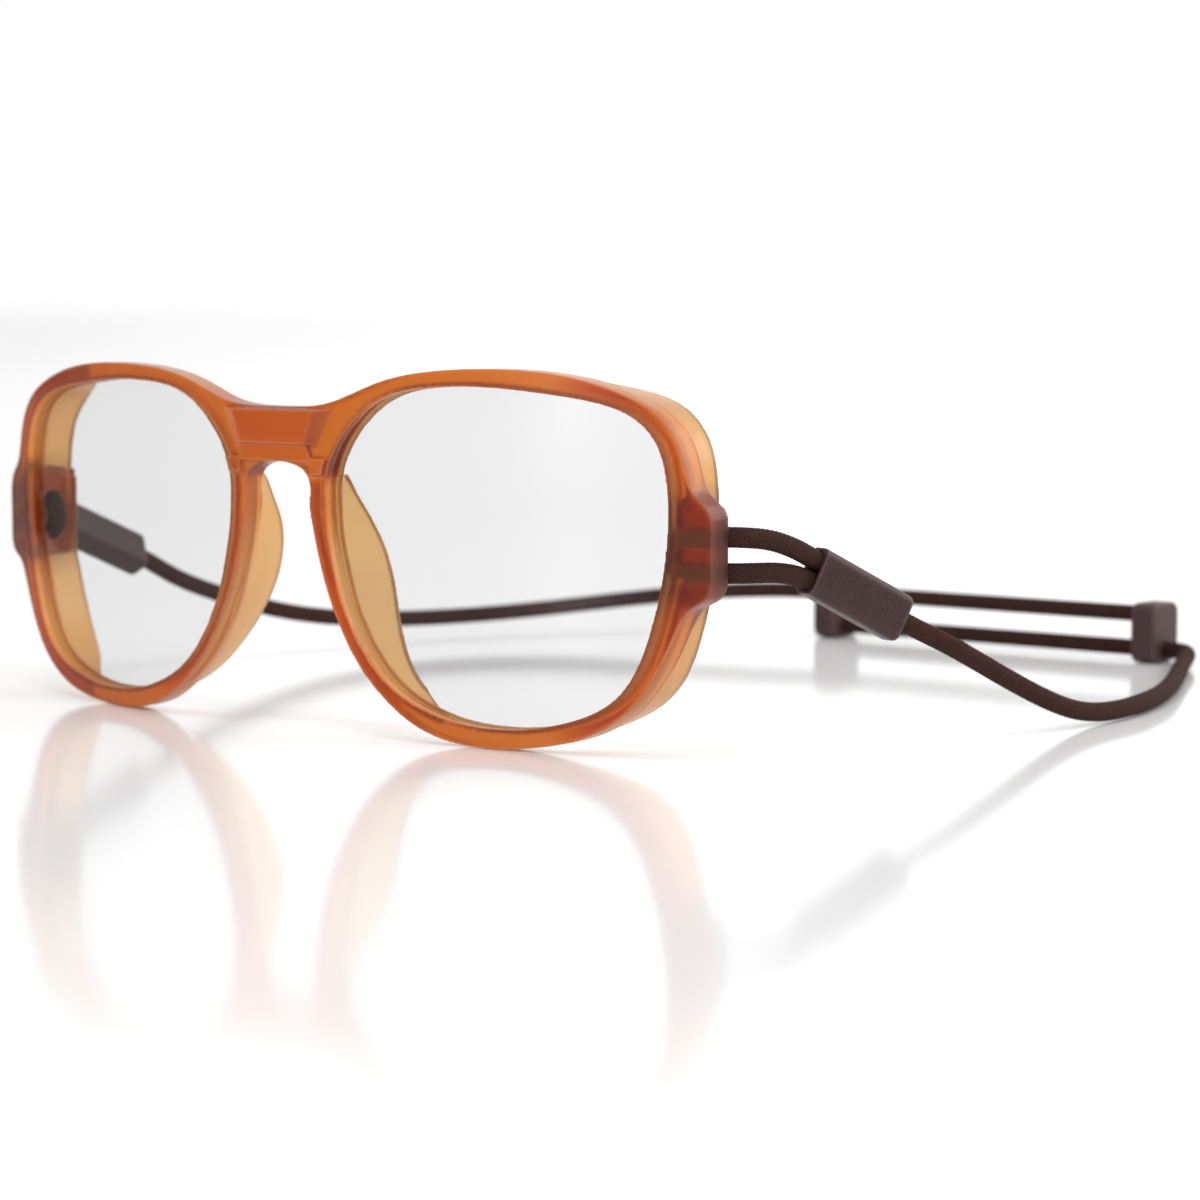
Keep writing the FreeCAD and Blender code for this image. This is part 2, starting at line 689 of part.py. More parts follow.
def make_run(cord):
    """The single cord from the splice to the inside of its own side's block."""
    start = dim("splice_start") + dim("splice_length") + RUN_SPLICE_GAP
    points = [cord.at(along) for along in (start, start + 3.5, dim("sleeve_length") + 0.8)]
    points += cord.run
    block_x = dim("block_%s_x" % cord.side)
    # distance outwards from the block's middle, distance forwards of the strand
    for outwards, forwards in (
        (4.2, cord.settle), (3.1, 0), (2.2, 0), (dim("split_offset"), 0),
    ):
        x = block_x + cord.sign * outwards
        points.append(Vector(x, dim("strand_y") - forwards, strand_z(cord)))
    return shape_object("cord_%s_run" % cord.side, tube(points, RUN_SPACING))


def make_tail(cord):
    """The straight strand from its own block to the ferrule in the other block."""
    ferrule_end = (
        dim("block_length") / 2 - dim("ferrule_inset") - dim("ferrule_bore_depth")
        + dim("tail_end_gap")
    )
    if cord.sign > 0:
        low_x = dim("block_right_x") + ferrule_end
    else:
        low_x = dim("block_right_x") - dim("split_offset") + dim("tail_gap")
    tail = doc.addObject("Part::Cylinder", "cord_%s_tail" % cord.side)
    tail.setExpression("Radius", "dims.cord_dia / 2")
    tail.Placement = FreeCAD.Placement(
        Vector(low_x, dim("strand_y"), strand_z(cord)), FreeCAD.Rotation(Vector(0, 1, 0), 90)
    )
    tail.setExpression(
        "Height",
        "dims.block_left_x + dims.split_offset - dims.tail_gap - dims.block_right_x"
        " - (dims.block_length / 2 - dims.ferrule_inset - dims.ferrule_bore_depth"
        " + dims.tail_end_gap)",
    )
    return tail


# ---------------------------------------------------------------- sketches of the bodies
def body_sketch(body, name, role):
    plane = next(f for f in body.Origin.OriginFeatures if getattr(f, "Role", "") == role)
    sketch = body.newObject("Sketcher::SketchObject", name)
    sketch.AttachmentSupport = (plane, [""])
    sketch.MapMode = "FlatFace"
    return sketch


def drive(sketch, kind, args, name, expr):
    """A named constraint bound to the sheet."""
    index = sketch.addConstraint(Sketcher.Constraint(kind, *args))
    sketch.renameConstraint(index, name)
    sketch.setExpression("Constraints.%s" % name, expr)


def line(x1, y1, x2, y2):
    return Part.LineSegment(Vector(x1, y1, 0), Vector(x2, y2, 0))


def arc_of(x, y, radius, start, end):
    return Part.ArcOfCircle(Part.Circle(Vector(x, y, 0), UP, radius), start, end)


def add_profile(sketch, points):
    """A closed profile of straight lines with its corners joined."""
    for segment in polyline(points):
        sketch.addGeometry(segment, False)
    count = len(points)
    sketch.addConstraint([
        Sketcher.Constraint("Coincident", i, 2, (i + 1) % count, 1) for i in range(count)
    ])


def slot_sketch(body, name, tall_alias, thick_alias):
    """A stadium, long along local x."""
    sketch = body_sketch(body, name, "XY_Plane")
    radius = dim(thick_alias) / 2
    half = (dim(tall_alias) - dim(thick_alias)) / 2
    for geometry in (
        arc_of(half, 0, radius, -QUARTER, QUARTER),
        arc_of(-half, 0, radius, QUARTER, 3 * QUARTER),
        line(half, radius, -half, radius),
        line(-half, -radius, half, -radius),
    ):
        sketch.addGeometry(geometry, False)
    rule = Sketcher.Constraint
    sketch.addConstraint([
        rule("Tangent", 0, 2, 2, 1), rule("Tangent", 2, 2, 1, 1),
        rule("Tangent", 1, 2, 3, 1), rule("Tangent", 3, 2, 0, 1),
        rule("Horizontal", 2), rule("PointOnObject", 0, 3, -1),
        rule("Symmetric", 0, 3, 1, 3, -1, 1),
    ])
    drive(sketch, "Radius", (0, radius), "end_radius", "dims.%s / 2" % thick_alias)
    drive(sketch, "DistanceX", (1, 3, 0, 3, 2 * half), "centres",
          "dims.%s - dims.%s" % (tall_alias, thick_alias))
    return sketch


def circle_sketch(body, name, role, diameter_alias, y=0, y_expr=None):
    """A circle centred on the local y axis, at the origin unless y is given."""
    sketch = body_sketch(body, name, role)
    radius = dim(diameter_alias) / 2
    sketch.addGeometry(Part.Circle(Vector(0, y, 0), UP, radius), False)
    drive(sketch, "Radius", (0, radius), "radius", "dims.%s / 2" % diameter_alias)
    sketch.addConstraint(Sketcher.Constraint("PointOnObject", 0, 3, -2))
    if y_expr:
        drive(sketch, "DistanceY", (-1, 1, 0, 3, y), "upward", y_expr)
    else:
        sketch.addConstraint(Sketcher.Constraint("PointOnObject", 0, 3, -1))
    return sketch


def rounded_rectangle(body, name, role, width_alias, height_alias, corner_alias):
    sketch = body_sketch(body, name, role)
    half_w, half_h, corner = dim(width_alias) / 2, dim(height_alias) / 2, dim(corner_alias)
    a, b = half_w - corner, half_h - corner
    for geometry in (
        line(-a, -half_h, a, -half_h),
        arc_of(a, -b, corner, -QUARTER, 0),
        line(half_w, -b, half_w, b),
        arc_of(a, b, corner, 0, QUARTER),
        line(a, half_h, -a, half_h),
        arc_of(-a, b, corner, QUARTER, 2 * QUARTER),
        line(-half_w, b, -half_w, -b),
        arc_of(-a, -b, corner, 2 * QUARTER, 3 * QUARTER),
    ):
        sketch.addGeometry(geometry, False)
    rule = Sketcher.Constraint
    sketch.addConstraint([rule("Tangent", i, 2, (i + 1) % 8, 1) for i in range(8)] + [
        rule("Horizontal", 0), rule("Vertical", 2),
        rule("Equal", 1, 3), rule("Equal", 3, 5), rule("Equal", 5, 7),
        rule("Symmetric", 1, 3, 5, 3, -1, 1),
    ])
    drive(sketch, "Radius", (1, corner), "corner", "dims.%s" % corner_alias)
    drive(sketch, "DistanceX", (7, 3, 1, 3, 2 * a), "span_x",
          "dims.%s - 2 * dims.%s" % (width_alias, corner_alias))
    drive(sketch, "DistanceY", (1, 3, 3, 3, 2 * b), "span_y",
          "dims.%s - 2 * dims.%s" % (height_alias, corner_alias))
    return sketch


def pick_edges(shape, wanted):
    """Names of the edges whose bounding box is wanted."""
    return ["Edge%d" % i for i, edge in enumerate(shape.Edges, start=1) if wanted(edge.BoundBox)]


def add_fillet(body, name, base, edges, alias):
    fillet = body.newObject("PartDesign::Fillet", name)
    fillet.Base = (base, edges)
    fillet.setExpression("Radius", "dims.%s" % alias)
    doc.recompute()
    return fillet


def require_cut(before, after, least, what):
    if after.Shape.Volume >= before.Shape.Volume - least:
        raise RuntimeError("%s cut nothing" % what)


# ---------------------------------------------------------------- sleeves
def make_sleeve(cord):
    """Rounded tube with a two-cord bore from its mouth and a single-cord exit at its rear."""
    name = "sleeve_" + cord.side
    body = doc.addObject("PartDesign::Body", name)
    pad = body.newObject("PartDesign::Pad", name + "_tube")
    pad.Profile = rounded_rectangle(
        body, name + "_outline", "XY_Plane", "sleeve_tall", "sleeve_thick", "sleeve_corner"
    )
    pad.setExpression("Length", "dims.sleeve_length")
    doc.recompute()

    bore_outline = slot_sketch(
        body, name + "_bore_outline", "sleeve_bore_tall", "sleeve_bore_thick"
    )
    bore = body.newObject("PartDesign::Pocket", name + "_bore")
    bore.Profile = bore_outline
    bore.setExpression("Length", "dims.sleeve_bore_depth")
    bore.Reversed = True
    exit_outline = circle_sketch(body, name + "_exit_outline", "XY_Plane", "sleeve_exit_dia")
    exit_hole = body.newObject("PartDesign::Pocket", name + "_exit")
    exit_hole.Profile = exit_outline
    exit_hole.Type = 1  # through all
    exit_hole.Reversed = True
    doc.recompute()
    require_cut(pad, exit_hole, 150, "sleeve bore")

    reach_x, reach_y = dim("sleeve_tall") / 2 - 0.01, dim("sleeve_thick") / 2 - 0.01

    def on_rear_rim(box):
        outermost = (
            box.YMax > reach_y or box.YMin < -reach_y or box.XMax > reach_x or box.XMin < -reach_x
        )
        return outermost and box.ZMin > dim("sleeve_length") - 0.001

    rim = pick_edges(exit_hole.Shape, on_rear_rim)
    add_fillet(body, name + "_end_round", exit_hole, rim, "sleeve_end_round")
    body.Placement = cord.placement()
    return body


# ---------------------------------------------------------------- slider blocks and ferrules
def make_block(cord):
    """Slider block. The through bore is low on the left block and high on the right one."""
    sign = cord.sign
    name = "slider_" + cord.side
    x_alias = "block_%s_x" % cord.side
    half = dim("block_length") / 2
    body = doc.addObject("PartDesign::Body", name)
    section = rounded_rectangle(
        body, name + "_section", "YZ_Plane", "block_width", "block_height", "block_corner"
    )
    pad = body.newObject("PartDesign::Pad", name + "_block")
    pad.Profile = section
    pad.setExpression("Length", "dims.block_length")
    pad.Midplane = True
    doc.recompute()
    ends = pick_edges(
        pad.Shape, lambda box: box.XMin > half - 0.001 or box.XMax < -half + 0.001
    )
    softened = add_fillet(body, name + "_softened", pad, ends, "block_edge")

    slide_outline = circle_sketch(
        body, name + "_slide_outline", "YZ_Plane", "slide_bore_dia",
        y=-sign * dim("strand_half_pitch"), y_expr="%d * dims.strand_half_pitch" % -sign,
    )
    slide = body.newObject("PartDesign::Pocket", name + "_slide_bore")
    slide.Profile = slide_outline
    slide.Type = 1  # through all
    slide.Midplane = True
    doc.recompute()
    require_cut(softened, slide, 20, "slide bore")

    # blind entry and ferrule cavity, turned about the other cord's strand
    outline = body_sketch(body, name + "_anchor_outline", "XZ_Plane")
    axis_z = sign * dim("strand_half_pitch")
    entry_z = axis_z + dim("slide_bore_dia") / 2
    cavity_z = axis_z + dim("cavity_dia") / 2
    inner_face = -sign * half
    entry_x = inner_face - sign * 0.5
    cavity_x = inner_face + sign * dim("ferrule_inset")
    cavity_end_x = inner_face + sign * (dim("ferrule_inset") + dim("cavity_length"))
    add_profile(outline, [
        (entry_x, axis_z), (entry_x, entry_z), (cavity_x, entry_z),
        (cavity_x, cavity_z), (cavity_end_x, cavity_z), (cavity_end_x, axis_z),
    ])
    outline.addGeometry(line(-4, axis_z, 4, axis_z), True)
    anchor = body.newObject("PartDesign::Groove", name + "_anchor")
    anchor.Profile = outline
    anchor.ReferenceAxis = (outline, ["Axis0"])
    anchor.Angle = 360
    doc.recompute()
    require_cut(slide, anchor, 20, "anchor cavity")
    body.Placement = FreeCAD.Placement(
        Vector(dim(x_alias), dim("strand_y"), dim("block_mid_z")), FreeCAD.Rotation()
    )
    body.setExpression("Placement.Base.x", "dims.%s" % x_alias)
    return body


def make_ferrule(cord, other):
    """A crimped cup on the cord's end, buried in the other side's block and open inwards."""
    name = "cord_end_ferrule_" + cord.side
    body = doc.addObject("PartDesign::Body", name)
    sketch = body_sketch(body, name + "_section", "XZ_Plane")
    length, depth = dim("ferrule_length"), dim("ferrule_bore_depth")
    outer, bore = dim("ferrule_dia") / 2, dim("ferrule_bore_dia") / 2
    add_profile(sketch, [
        (0, bore), (0, outer), (length, outer), (length, 0), (depth, 0), (depth, bore),
    ])
    rule = Sketcher.Constraint
    sketch.addConstraint([
        rule("Vertical", 0), rule("Horizontal", 1), rule("Vertical", 2), rule("Horizontal", 3),
        rule("Vertical", 4), rule("Horizontal", 5),
        rule("PointOnObject", 3, 1, -1), rule("PointOnObject", 0, 1, -2),
    ])
    drive(sketch, "DistanceY", (-1, 1, 0, 1, bore), "bore_radius", "dims.ferrule_bore_dia / 2")
    drive(sketch, "DistanceY", (-1, 1, 0, 2, outer), "outer_radius", "dims.ferrule_dia / 2")
    drive(sketch, "DistanceX", (-1, 1, 2, 2, length), "cup_length", "dims.ferrule_length")
    drive(sketch, "DistanceX", (-1, 1, 4, 1, depth), "cup_depth", "dims.ferrule_bore_depth")
    cup = body.newObject("PartDesign::Revolution", name + "_cup")
    cup.Profile = sketch
    cup.ReferenceAxis = (sketch, ["H_Axis"])
    cup.Angle = 360
    doc.recompute()
    end_gap = (dim("cavity_length") - length) / 2
    inwards = dim("block_length") / 2 - dim("ferrule_inset") - end_gap
    x = dim("block_%s_x" % other.side) - other.sign * inwards
    turned = FreeCAD.Rotation() if other.sign > 0 else FreeCAD.Rotation(UP, 180)
    body.Placement = FreeCAD.Placement(Vector(x, dim("strand_y"), strand_z(cord)), turned)
    return body


# ---------------------------------------------------------------- build, check and export
nodes = [make_frame()] + make_lenses()
for cord, other in ((LEFT, RIGHT), (RIGHT, LEFT)):
    nodes += [
        make_loop(cord), make_splice(cord), make_run(cord), make_tail(cord),
        make_sleeve(cord), make_block(cord), make_ferrule(cord, other),
    ]
doc.recompute()

for item in doc.Objects:
    if "Invalid" in item.State or "Error" in item.State:
        raise RuntimeError("%s is %s" % (item.Name, item.State))
for node in nodes:
    if node.Shape.isNull() or not node.Shape.isValid():
        raise RuntimeError("%s has no valid shape" % node.Label)
    if not node.Shape.Solids:
        raise RuntimeError("%s has no solid" % node.Label)

os.makedirs("parts", exist_ok=True)
for node in nodes:
    node.Shape.exportStep("parts/%s.step" % node.Label)
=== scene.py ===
"""Amber glasses on a braided neck cord, with leather sleeves, thread splices and two sliders.

Metres, +Z up. The front faces -Y and the cord runs back towards +Y. Left is the wearer's
left, +X. Cord and sleeve tables are in millimetres.
"""
import math

import bpy
import numpy as np
from mathutils import Matrix, Vector
from mathutils.bvhtree import BVHTree

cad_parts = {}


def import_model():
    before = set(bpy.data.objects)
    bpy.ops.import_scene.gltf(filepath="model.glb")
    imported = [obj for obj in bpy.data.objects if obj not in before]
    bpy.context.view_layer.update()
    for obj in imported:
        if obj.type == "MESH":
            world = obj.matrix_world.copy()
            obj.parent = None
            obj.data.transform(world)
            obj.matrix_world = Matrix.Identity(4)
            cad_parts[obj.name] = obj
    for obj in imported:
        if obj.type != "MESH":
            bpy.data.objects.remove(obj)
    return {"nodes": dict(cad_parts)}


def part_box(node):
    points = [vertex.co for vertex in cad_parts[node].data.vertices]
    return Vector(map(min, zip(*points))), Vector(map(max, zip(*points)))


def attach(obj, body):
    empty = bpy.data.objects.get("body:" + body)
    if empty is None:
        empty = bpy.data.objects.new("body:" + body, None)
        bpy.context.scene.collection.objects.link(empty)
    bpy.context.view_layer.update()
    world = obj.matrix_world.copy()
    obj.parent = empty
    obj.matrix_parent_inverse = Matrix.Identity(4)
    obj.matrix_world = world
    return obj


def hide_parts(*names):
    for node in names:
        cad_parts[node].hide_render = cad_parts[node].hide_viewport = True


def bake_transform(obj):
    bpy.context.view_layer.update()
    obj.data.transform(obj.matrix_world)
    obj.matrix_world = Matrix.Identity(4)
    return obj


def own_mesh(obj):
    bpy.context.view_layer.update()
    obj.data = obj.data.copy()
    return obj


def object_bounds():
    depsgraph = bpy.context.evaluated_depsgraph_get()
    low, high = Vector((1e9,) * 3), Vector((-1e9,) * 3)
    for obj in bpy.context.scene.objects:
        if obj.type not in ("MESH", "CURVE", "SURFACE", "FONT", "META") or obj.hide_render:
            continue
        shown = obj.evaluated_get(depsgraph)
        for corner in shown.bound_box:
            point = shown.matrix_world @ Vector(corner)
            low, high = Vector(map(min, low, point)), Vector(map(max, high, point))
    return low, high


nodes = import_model()["nodes"]
cad_low, cad_high = [Vector(v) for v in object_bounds()]
MM = 0.001

# ------------------------------------------------------------------ measured cords and sleeves
# Centre lines of the cords: x, y, z in mm. A loop starts at its sleeve, goes through the
# lug and comes back; a run goes from the sleeve to the sliders behind.
LEFT_LOOP = [
    (74.21, 34.33, -19.49), (73.73, 32.97, -18.76), (73.17, 31.64, -18.02), (72.68, 30.29, -17.28),
    (72.45, 28.84, -16.61), (72.4, 27.34, -16), (72.34, 25.82, -15.43), (72.13, 24.31, -14.89),
    (71.83, 22.79, -14.41), (71.51, 21.25, -14.03), (71.07, 19.72, -13.76), (70.33, 18.29, -13.59),
    (69.2, 17.14, -13.51), (67.76, 16.42, -13.5), (66.24, 15.85, -13.51), (64.71, 15.31, -13.48),
    (63.2, 14.75, -13.55), (61.9, 14.28, -14.33), (61.35, 14.08, -15.81), (61.79, 14.24, -17.33),
    (63.02, 14.69, -18.21), (64.54, 15.24, -18.32), (66.06, 15.79, -18.29), (67.58, 16.35, -18.3),
    (69.05, 17.03, -18.28), (70.18, 18.18, -18.27), (70.87, 19.64, -18.29), (71.24, 21.21, -18.34),
    (71.49, 22.81, -18.45), (71.71, 24.4, -18.65), (71.85, 25.99, -18.93), (71.95, 27.56, -19.32),
    (72.21, 29.05, -19.88), (72.71, 30.41, -20.61), (73.26, 31.72, -21.38), (73.75, 33.09, -22.09),
]
RIGHT_LOOP = [
    (-71.38, 29.35, -18.72), (-71.46, 27.89, -18.08), (-71.6, 26.43, -17.45), (-71.7, 24.96, -16.81),
    (-71.61, 23.52, -16.13), (-71.35, 22.1, -15.45), (-71.01, 20.67, -14.81), (-70.64, 19.21, -14.25),
    (-69.94, 17.85, -13.81), (-68.74, 16.85, -13.55), (-67.27, 16.23, -13.5), (-65.76, 15.69, -13.5),
    (-64.26, 15.14, -13.47), (-62.77, 14.6, -13.67), (-61.65, 14.19, -14.69), (-61.37, 14.09, -16.23),
    (-62.04, 14.33, -17.63), (-63.38, 14.82, -18.28), (-64.88, 15.37, -18.32), (-66.39, 15.91, -18.3),
    (-67.89, 16.46, -18.29), (-69.34, 17.13, -18.2), (-70.56, 18.15, -18.06), (-71.3, 19.55, -17.94),
    (-71.27, 21.12, -18.04), (-70.61, 22.52, -18.44), (-70.04, 23.9, -19), (-69.93, 25.36, -19.63),
    (-69.92, 26.82, -20.29), (-69.78, 28.28, -20.92),
]
LEFT_RUN = [
    (75.45, 37.63, -22.93), (76.45, 40.31, -24.38), (77.45, 42.98, -25.84), (78.53, 45.65, -27.25),
    (79.7, 48.31, -28.6), (80.85, 50.96, -29.99), (81.93, 53.6, -31.46), (82.93, 56.25, -32.95),
    (83.85, 58.94, -34.43), (84.7, 61.69, -35.85), (85.47, 64.49, -37.21), (86.16, 67.35, -38.47),
    (86.77, 70.29, -39.59), (87.26, 73.33, -40.49), (87.63, 76.46, -41.07), (87.85, 79.64, -41.4),
    (87.89, 82.84, -41.54), (87.74, 86.04, -41.58), (87.41, 89.23, -41.56), (86.9, 92.39, -41.55),
    (86.24, 95.53, -41.55), (85.44, 98.63, -41.56), (84.54, 101.71, -41.56), (83.54, 104.75, -41.56),
    (82.45, 107.77, -41.56), (81.3, 110.76, -41.56), (80.08, 113.73, -41.56), (78.82, 116.67, -41.56),
    (77.51, 119.6, -41.56), (76.18, 122.51, -41.56), (74.82, 125.42, -41.56), (73.45, 128.31, -41.55),
    (72.06, 131.2, -41.52), (70.67, 134.09, -41.48), (69.29, 136.99, -41.42), (67.94, 139.89, -41.35),
    (66.61, 142.81, -41.26), (65.32, 145.74, -41.17), (64.02, 148.67, -41.06), (62.48, 151.48, -40.95),
    (60.27, 153.76, -40.9), (57.2, 154.51, -40.9), (55.6, 154.5, -40.9),
]
RIGHT_RUN = [
    (-70.28, 33.11, -21.7), (-70.08, 36.05, -22.99), (-69.87, 39, -24.26), (-69.71, 41.89, -25.66),
    (-69.58, 44.73, -27.16), (-69.36, 47.62, -28.56), (-69.04, 50.57, -29.78), (-68.64, 53.57, -30.88),
    (-68.22, 56.59, -31.89), (-67.79, 59.63, -32.86), (-67.37, 62.68, -33.76), (-66.93, 65.76, -34.59),
    (-66.47, 68.85, -35.35), (-65.99, 71.96, -36), (-65.48, 75.09, -36.56), (-64.93, 78.22, -37.04),
    (-64.34, 81.35, -37.43), (-63.71, 84.49, -37.75), (-63.02, 87.62, -38.01), (-62.28, 90.74, -38.21),
    (-61.48, 93.85, -38.36), (-60.61, 96.95, -38.46), (-59.68, 100.02, -38.52),
    (-58.68, 103.08, -38.54), (-57.6, 106.11, -38.52), (-56.46, 109.12, -38.48), (-55.26, 112.1, -38.4),
    (-53.99, 115.05, -38.28), (-52.66, 117.97, -38.14), (-51.24, 120.85, -37.97),
    (-49.75, 123.69, -37.76), (-48.16, 126.48, -37.53), (-46.48, 129.21, -37.28),
    (-44.7, 131.87, -37.01), (-42.83, 134.47, -36.74), (-40.84, 136.99, -36.48),
    (-38.75, 139.42, -36.22), (-36.55, 141.75, -35.98), (-34.23, 143.96, -35.76),
    (-31.78, 146.03, -35.56), (-29.22, 147.97, -35.39), (-26.55, 149.76, -35.26),
    (-23.78, 151.39, -35.17), (-20.9, 152.82, -35.12), (-17.88, 153.89, -35.1), (-14.71, 154.45, -35.1),
    (-11.5, 154.5, -35.1),
]
LOOPS = {"left": LEFT_LOOP, "right": RIGHT_LOOP}
RUNS = {"left": LEFT_RUN, "right": RIGHT_RUN}

# mouth in mm, unit direction along the cords, unit direction across the two legs of the loop
SLEEVES = {
    "left": dict(mouth=(72.4, 29.5, -18.5), along=(0.31286, 0.83429, -0.45395),
                 across=(0.15939, 0.42505, 0.89103)),
    "right": dict(mouth=(-70.9, 24.2, -17.8), along=(0.06349, 0.91431, -0.40001),
                  across=(-0.5495, 0.36662, 0.75076)),
}


# ------------------------------------------------------------------ node helpers
class Tree:
    """A short way to write shader nodes; owner is a material or a world."""

    def __init__(self, owner):
        self.owner = owner
        owner.use_nodes = True
        self.nodes = owner.node_tree.nodes

    def add(self, kind, settings=None, **inputs):
        """A node with its settings; underscores in input names stand for spaces."""
        node = self.nodes.new("ShaderNode" + kind)
        for key, value in (settings or {}).items():
            setattr(node, key, value)
        for key, value in inputs.items():
            self.put(node, key.replace("_", " "), value)
        return node

    def put(self, node, key, value):
        """Link or set one input, found by name or by index."""
        socket = node.inputs[key]
        if isinstance(value, bpy.types.Node):
            value = value.outputs[0]
        if isinstance(value, bpy.types.NodeSocket):
            self.owner.node_tree.links.new(value, socket)
            return
        if socket.type == "RGBA" and len(value) == 3:
            value = (*value, 1.0)
        socket.default_value = value

    def join(self, kind, *values, settings=None):
        """A node whose first inputs are given in order."""
        node = self.add(kind, settings)
        for i, value in enumerate(values):
            self.put(node, i, value)
        return node

    def math(self, operation, *values, clamp=False):
        settings = {"operation": operation, "use_clamp": clamp}
        return self.join("Math", *values, settings=settings).outputs[0]

    def invert(self, value):
        return self.math("SUBTRACT", 1.0, value)

    def remap(self, value, span, to=(0.0, 1.0)):
        """Smooth step from span to to."""
        node = self.add("MapRange", {"interpolation_type": "SMOOTHSTEP"}, Value=value,
                        From_Min=span[0], From_Max=span[1], To_Min=to[0], To_Max=to[1])
        return node.outputs[0]

    def vary(self, base, noise, by, centre=None):
        """base + by * (noise - centre)."""
        if centre is not None:
            noise = self.math("SUBTRACT", noise, centre)
        return self.math("ADD", base, self.math("MULTIPLY", noise, by))

    def ramp(self, fac, stops):
        node = self.add("ValToRGB", Fac=fac)
        elements = node.color_ramp.elements
        while len(elements) < len(stops):
            elements.new(0.5)
        for element, (position, colour) in zip(elements, stops):
            element.position = position
            element.color = (*colour, 1.0)
        return node.outputs["Color"]

    def mix(self, fac, low, high):
        node = self.join("Mix", fac, settings={"data_type": "RGBA", "blend_type": "MIX"})
        self.put(node, 6, low)
        self.put(node, 7, high)
        return node.outputs[2]

    def stain(self, base, mask, share, to, above=None, clamp=True):
        """Blend base towards a colour by share * (mask - above)."""
        if above is not None:
            mask = self.math("SUBTRACT", mask, above)
        return self.mix(self.math("MULTIPLY", mask, share, clamp=clamp), base, to)

    def noise(self, coord, scale, detail=3.0, rough=0.5, distortion=0.0):
        return self.add("TexNoise", Vector=coord, Scale=scale, Detail=detail, Roughness=rough,
                        Distortion=distortion).outputs["Fac"]

    def scaled(self, coord, scale):
        return self.add("Mapping", Vector=coord, Scale=scale).outputs[0]

    def attribute(self, name):
        return self.add("Attribute", {"attribute_name": name}).outputs["Fac"]

    def bump(self, height, distance, strength, normal=None):
        node = self.add("Bump", Strength=strength, Distance=distance, Height=height)
        if normal is not None:
            self.put(node, "Normal", normal)
        return node.outputs[0]

    def object_coords(self):
        return self.add("TexCoord").outputs["Object"]


class Material(Tree):
    """The nodes of a new, empty material."""

    def __init__(self, name):
        super().__init__(bpy.data.materials.new(name))
        self.nodes.clear()
        self.out = self.add("OutputMaterial")

    def finish(self, shader, volume=None):
        self.put(self.out, "Surface", shader)
        if volume is not None:
            self.put(self.out, "Volume", volume)
        return self.owner


# ------------------------------------------------------------------ materials
def amber_plastic():
    """Translucent amber frame: honey where the wall is thin, deep amber where it is thick."""
    t = Material("amber_frame")
    where = t.object_coords()
    edge, seat_shade, lip, cord = [t.attribute(n) for n in ("edge", "seat_shade", "lip", "cord_shade")]
    cloud = t.noise(where, scale=90.0)
    thick = t.vary(t.attribute("wall"), cloud, by=0.08, centre=0.5)

    # surface colour: by thickness, then painted highlights on the sharp edges, painted shade at the
    # lens seats and on the lips, and the painted shade of the cord inside the lugs
    colour = t.ramp(thick, [
        (0.00, (0.96, 0.70, 0.24)),
        (0.16, (0.92, 0.54, 0.14)),
        (0.32, (0.76, 0.215, 0.022)),
        (0.52, (0.62, 0.115, 0.009)),
        (0.78, (0.38, 0.050, 0.006)),
        (1.00, (0.17, 0.022, 0.004)),
    ])
    # painted highlight: sharp edges lightened towards pale orange, for the bright lines light leaves on
    # rounded edges
    colour = t.stain(colour, edge, share=0.42, to=(0.97, 0.62, 0.30))
    # painted shade: darker where the front lip meets a lens
    colour = t.stain(colour, seat_shade, share=0.20, to=(0.16, 0.035, 0.010))
    # painted shade: the thin lips in front of a lens darkened towards dark brown
    colour = t.stain(colour, lip, share=0.65, to=(0.20, 0.045, 0.012))
    colour = t.mix(cord, colour, (0.036, 0.008, 0.005))

    # colour of the light let through, paler on thin walls out by the lugs
    tint = t.mix(t.remap(thick, span=(0.1, 0.6)), (1.0, 0.95, 0.80), (1.0, 0.80, 0.46))
    sideways = t.math("ABSOLUTE", t.add("SeparateXYZ", Vector=where).outputs["X"])
    outer = t.remap(sideways, span=(0.030, 0.042))
    thin = t.invert(t.remap(thick, span=(0.14, 0.34)))
    tint = t.mix(t.math("MULTIPLY", outer, thin), tint, (0.93, 0.80, 0.58))
    # painted shade on the lips, in the light let through as well
    tint = t.stain(tint, lip, share=0.9, to=(0.44, 0.15, 0.05))
    # painted shade at the lens seats, in the light let through as well
    tint = t.stain(tint, seat_shade, share=0.12, to=(0.42, 0.14, 0.04), clamp=False)
    tint = t.stain(tint, cord, share=0.9, to=(0.19, 0.065, 0.045))

    haze = t.noise(where, scale=420.0, detail=4.0, rough=0.6)
    rough = t.vary(0.25, haze, by=0.12, centre=0.5)
    fine = t.noise(where, scale=2600.0, rough=0.6)
    normal = t.bump(fine, distance=0.00002, strength=0.30)
    waves = t.noise(where, scale=210.0, detail=2.0)
    normal = t.bump(waves, distance=0.00006, strength=0.22, normal=normal)
    skin = dict(IOR=1.49, Normal=normal, Coat_Weight=0.08, Coat_Roughness=0.08,
                Specular_IOR_Level=t.remap(cord, span=(0.0, 1.0), to=(0.13, 0.06)))
    milk = t.add("BsdfPrincipled", Base_Color=colour, Roughness=rough, Subsurface_Weight=0.30,
                 Subsurface_Scale=0.0018, Subsurface_Radius=(1.0, 0.34, 0.10), **skin)
    glow = t.add("BsdfPrincipled", Base_Color=tint, Roughness=t.math("ADD", rough, 0.06),
                 Transmission_Weight=1.0, **skin)
    # share of clear plastic: less where thick, and less at the lens seats, as part of the painted shade
    # there
    clear = t.math("MULTIPLY", t.remap(thick, span=(0.05, 0.8), to=(0.86, 0.60)),
                   t.invert(t.math("MULTIPLY", seat_shade, 0.45)))
    dye = t.add("VolumeAbsorption", Color=(0.95, 0.635, 0.05), Density=900.0)
    return t.finish(t.join("MixShader", clear, milk, glow), dye)


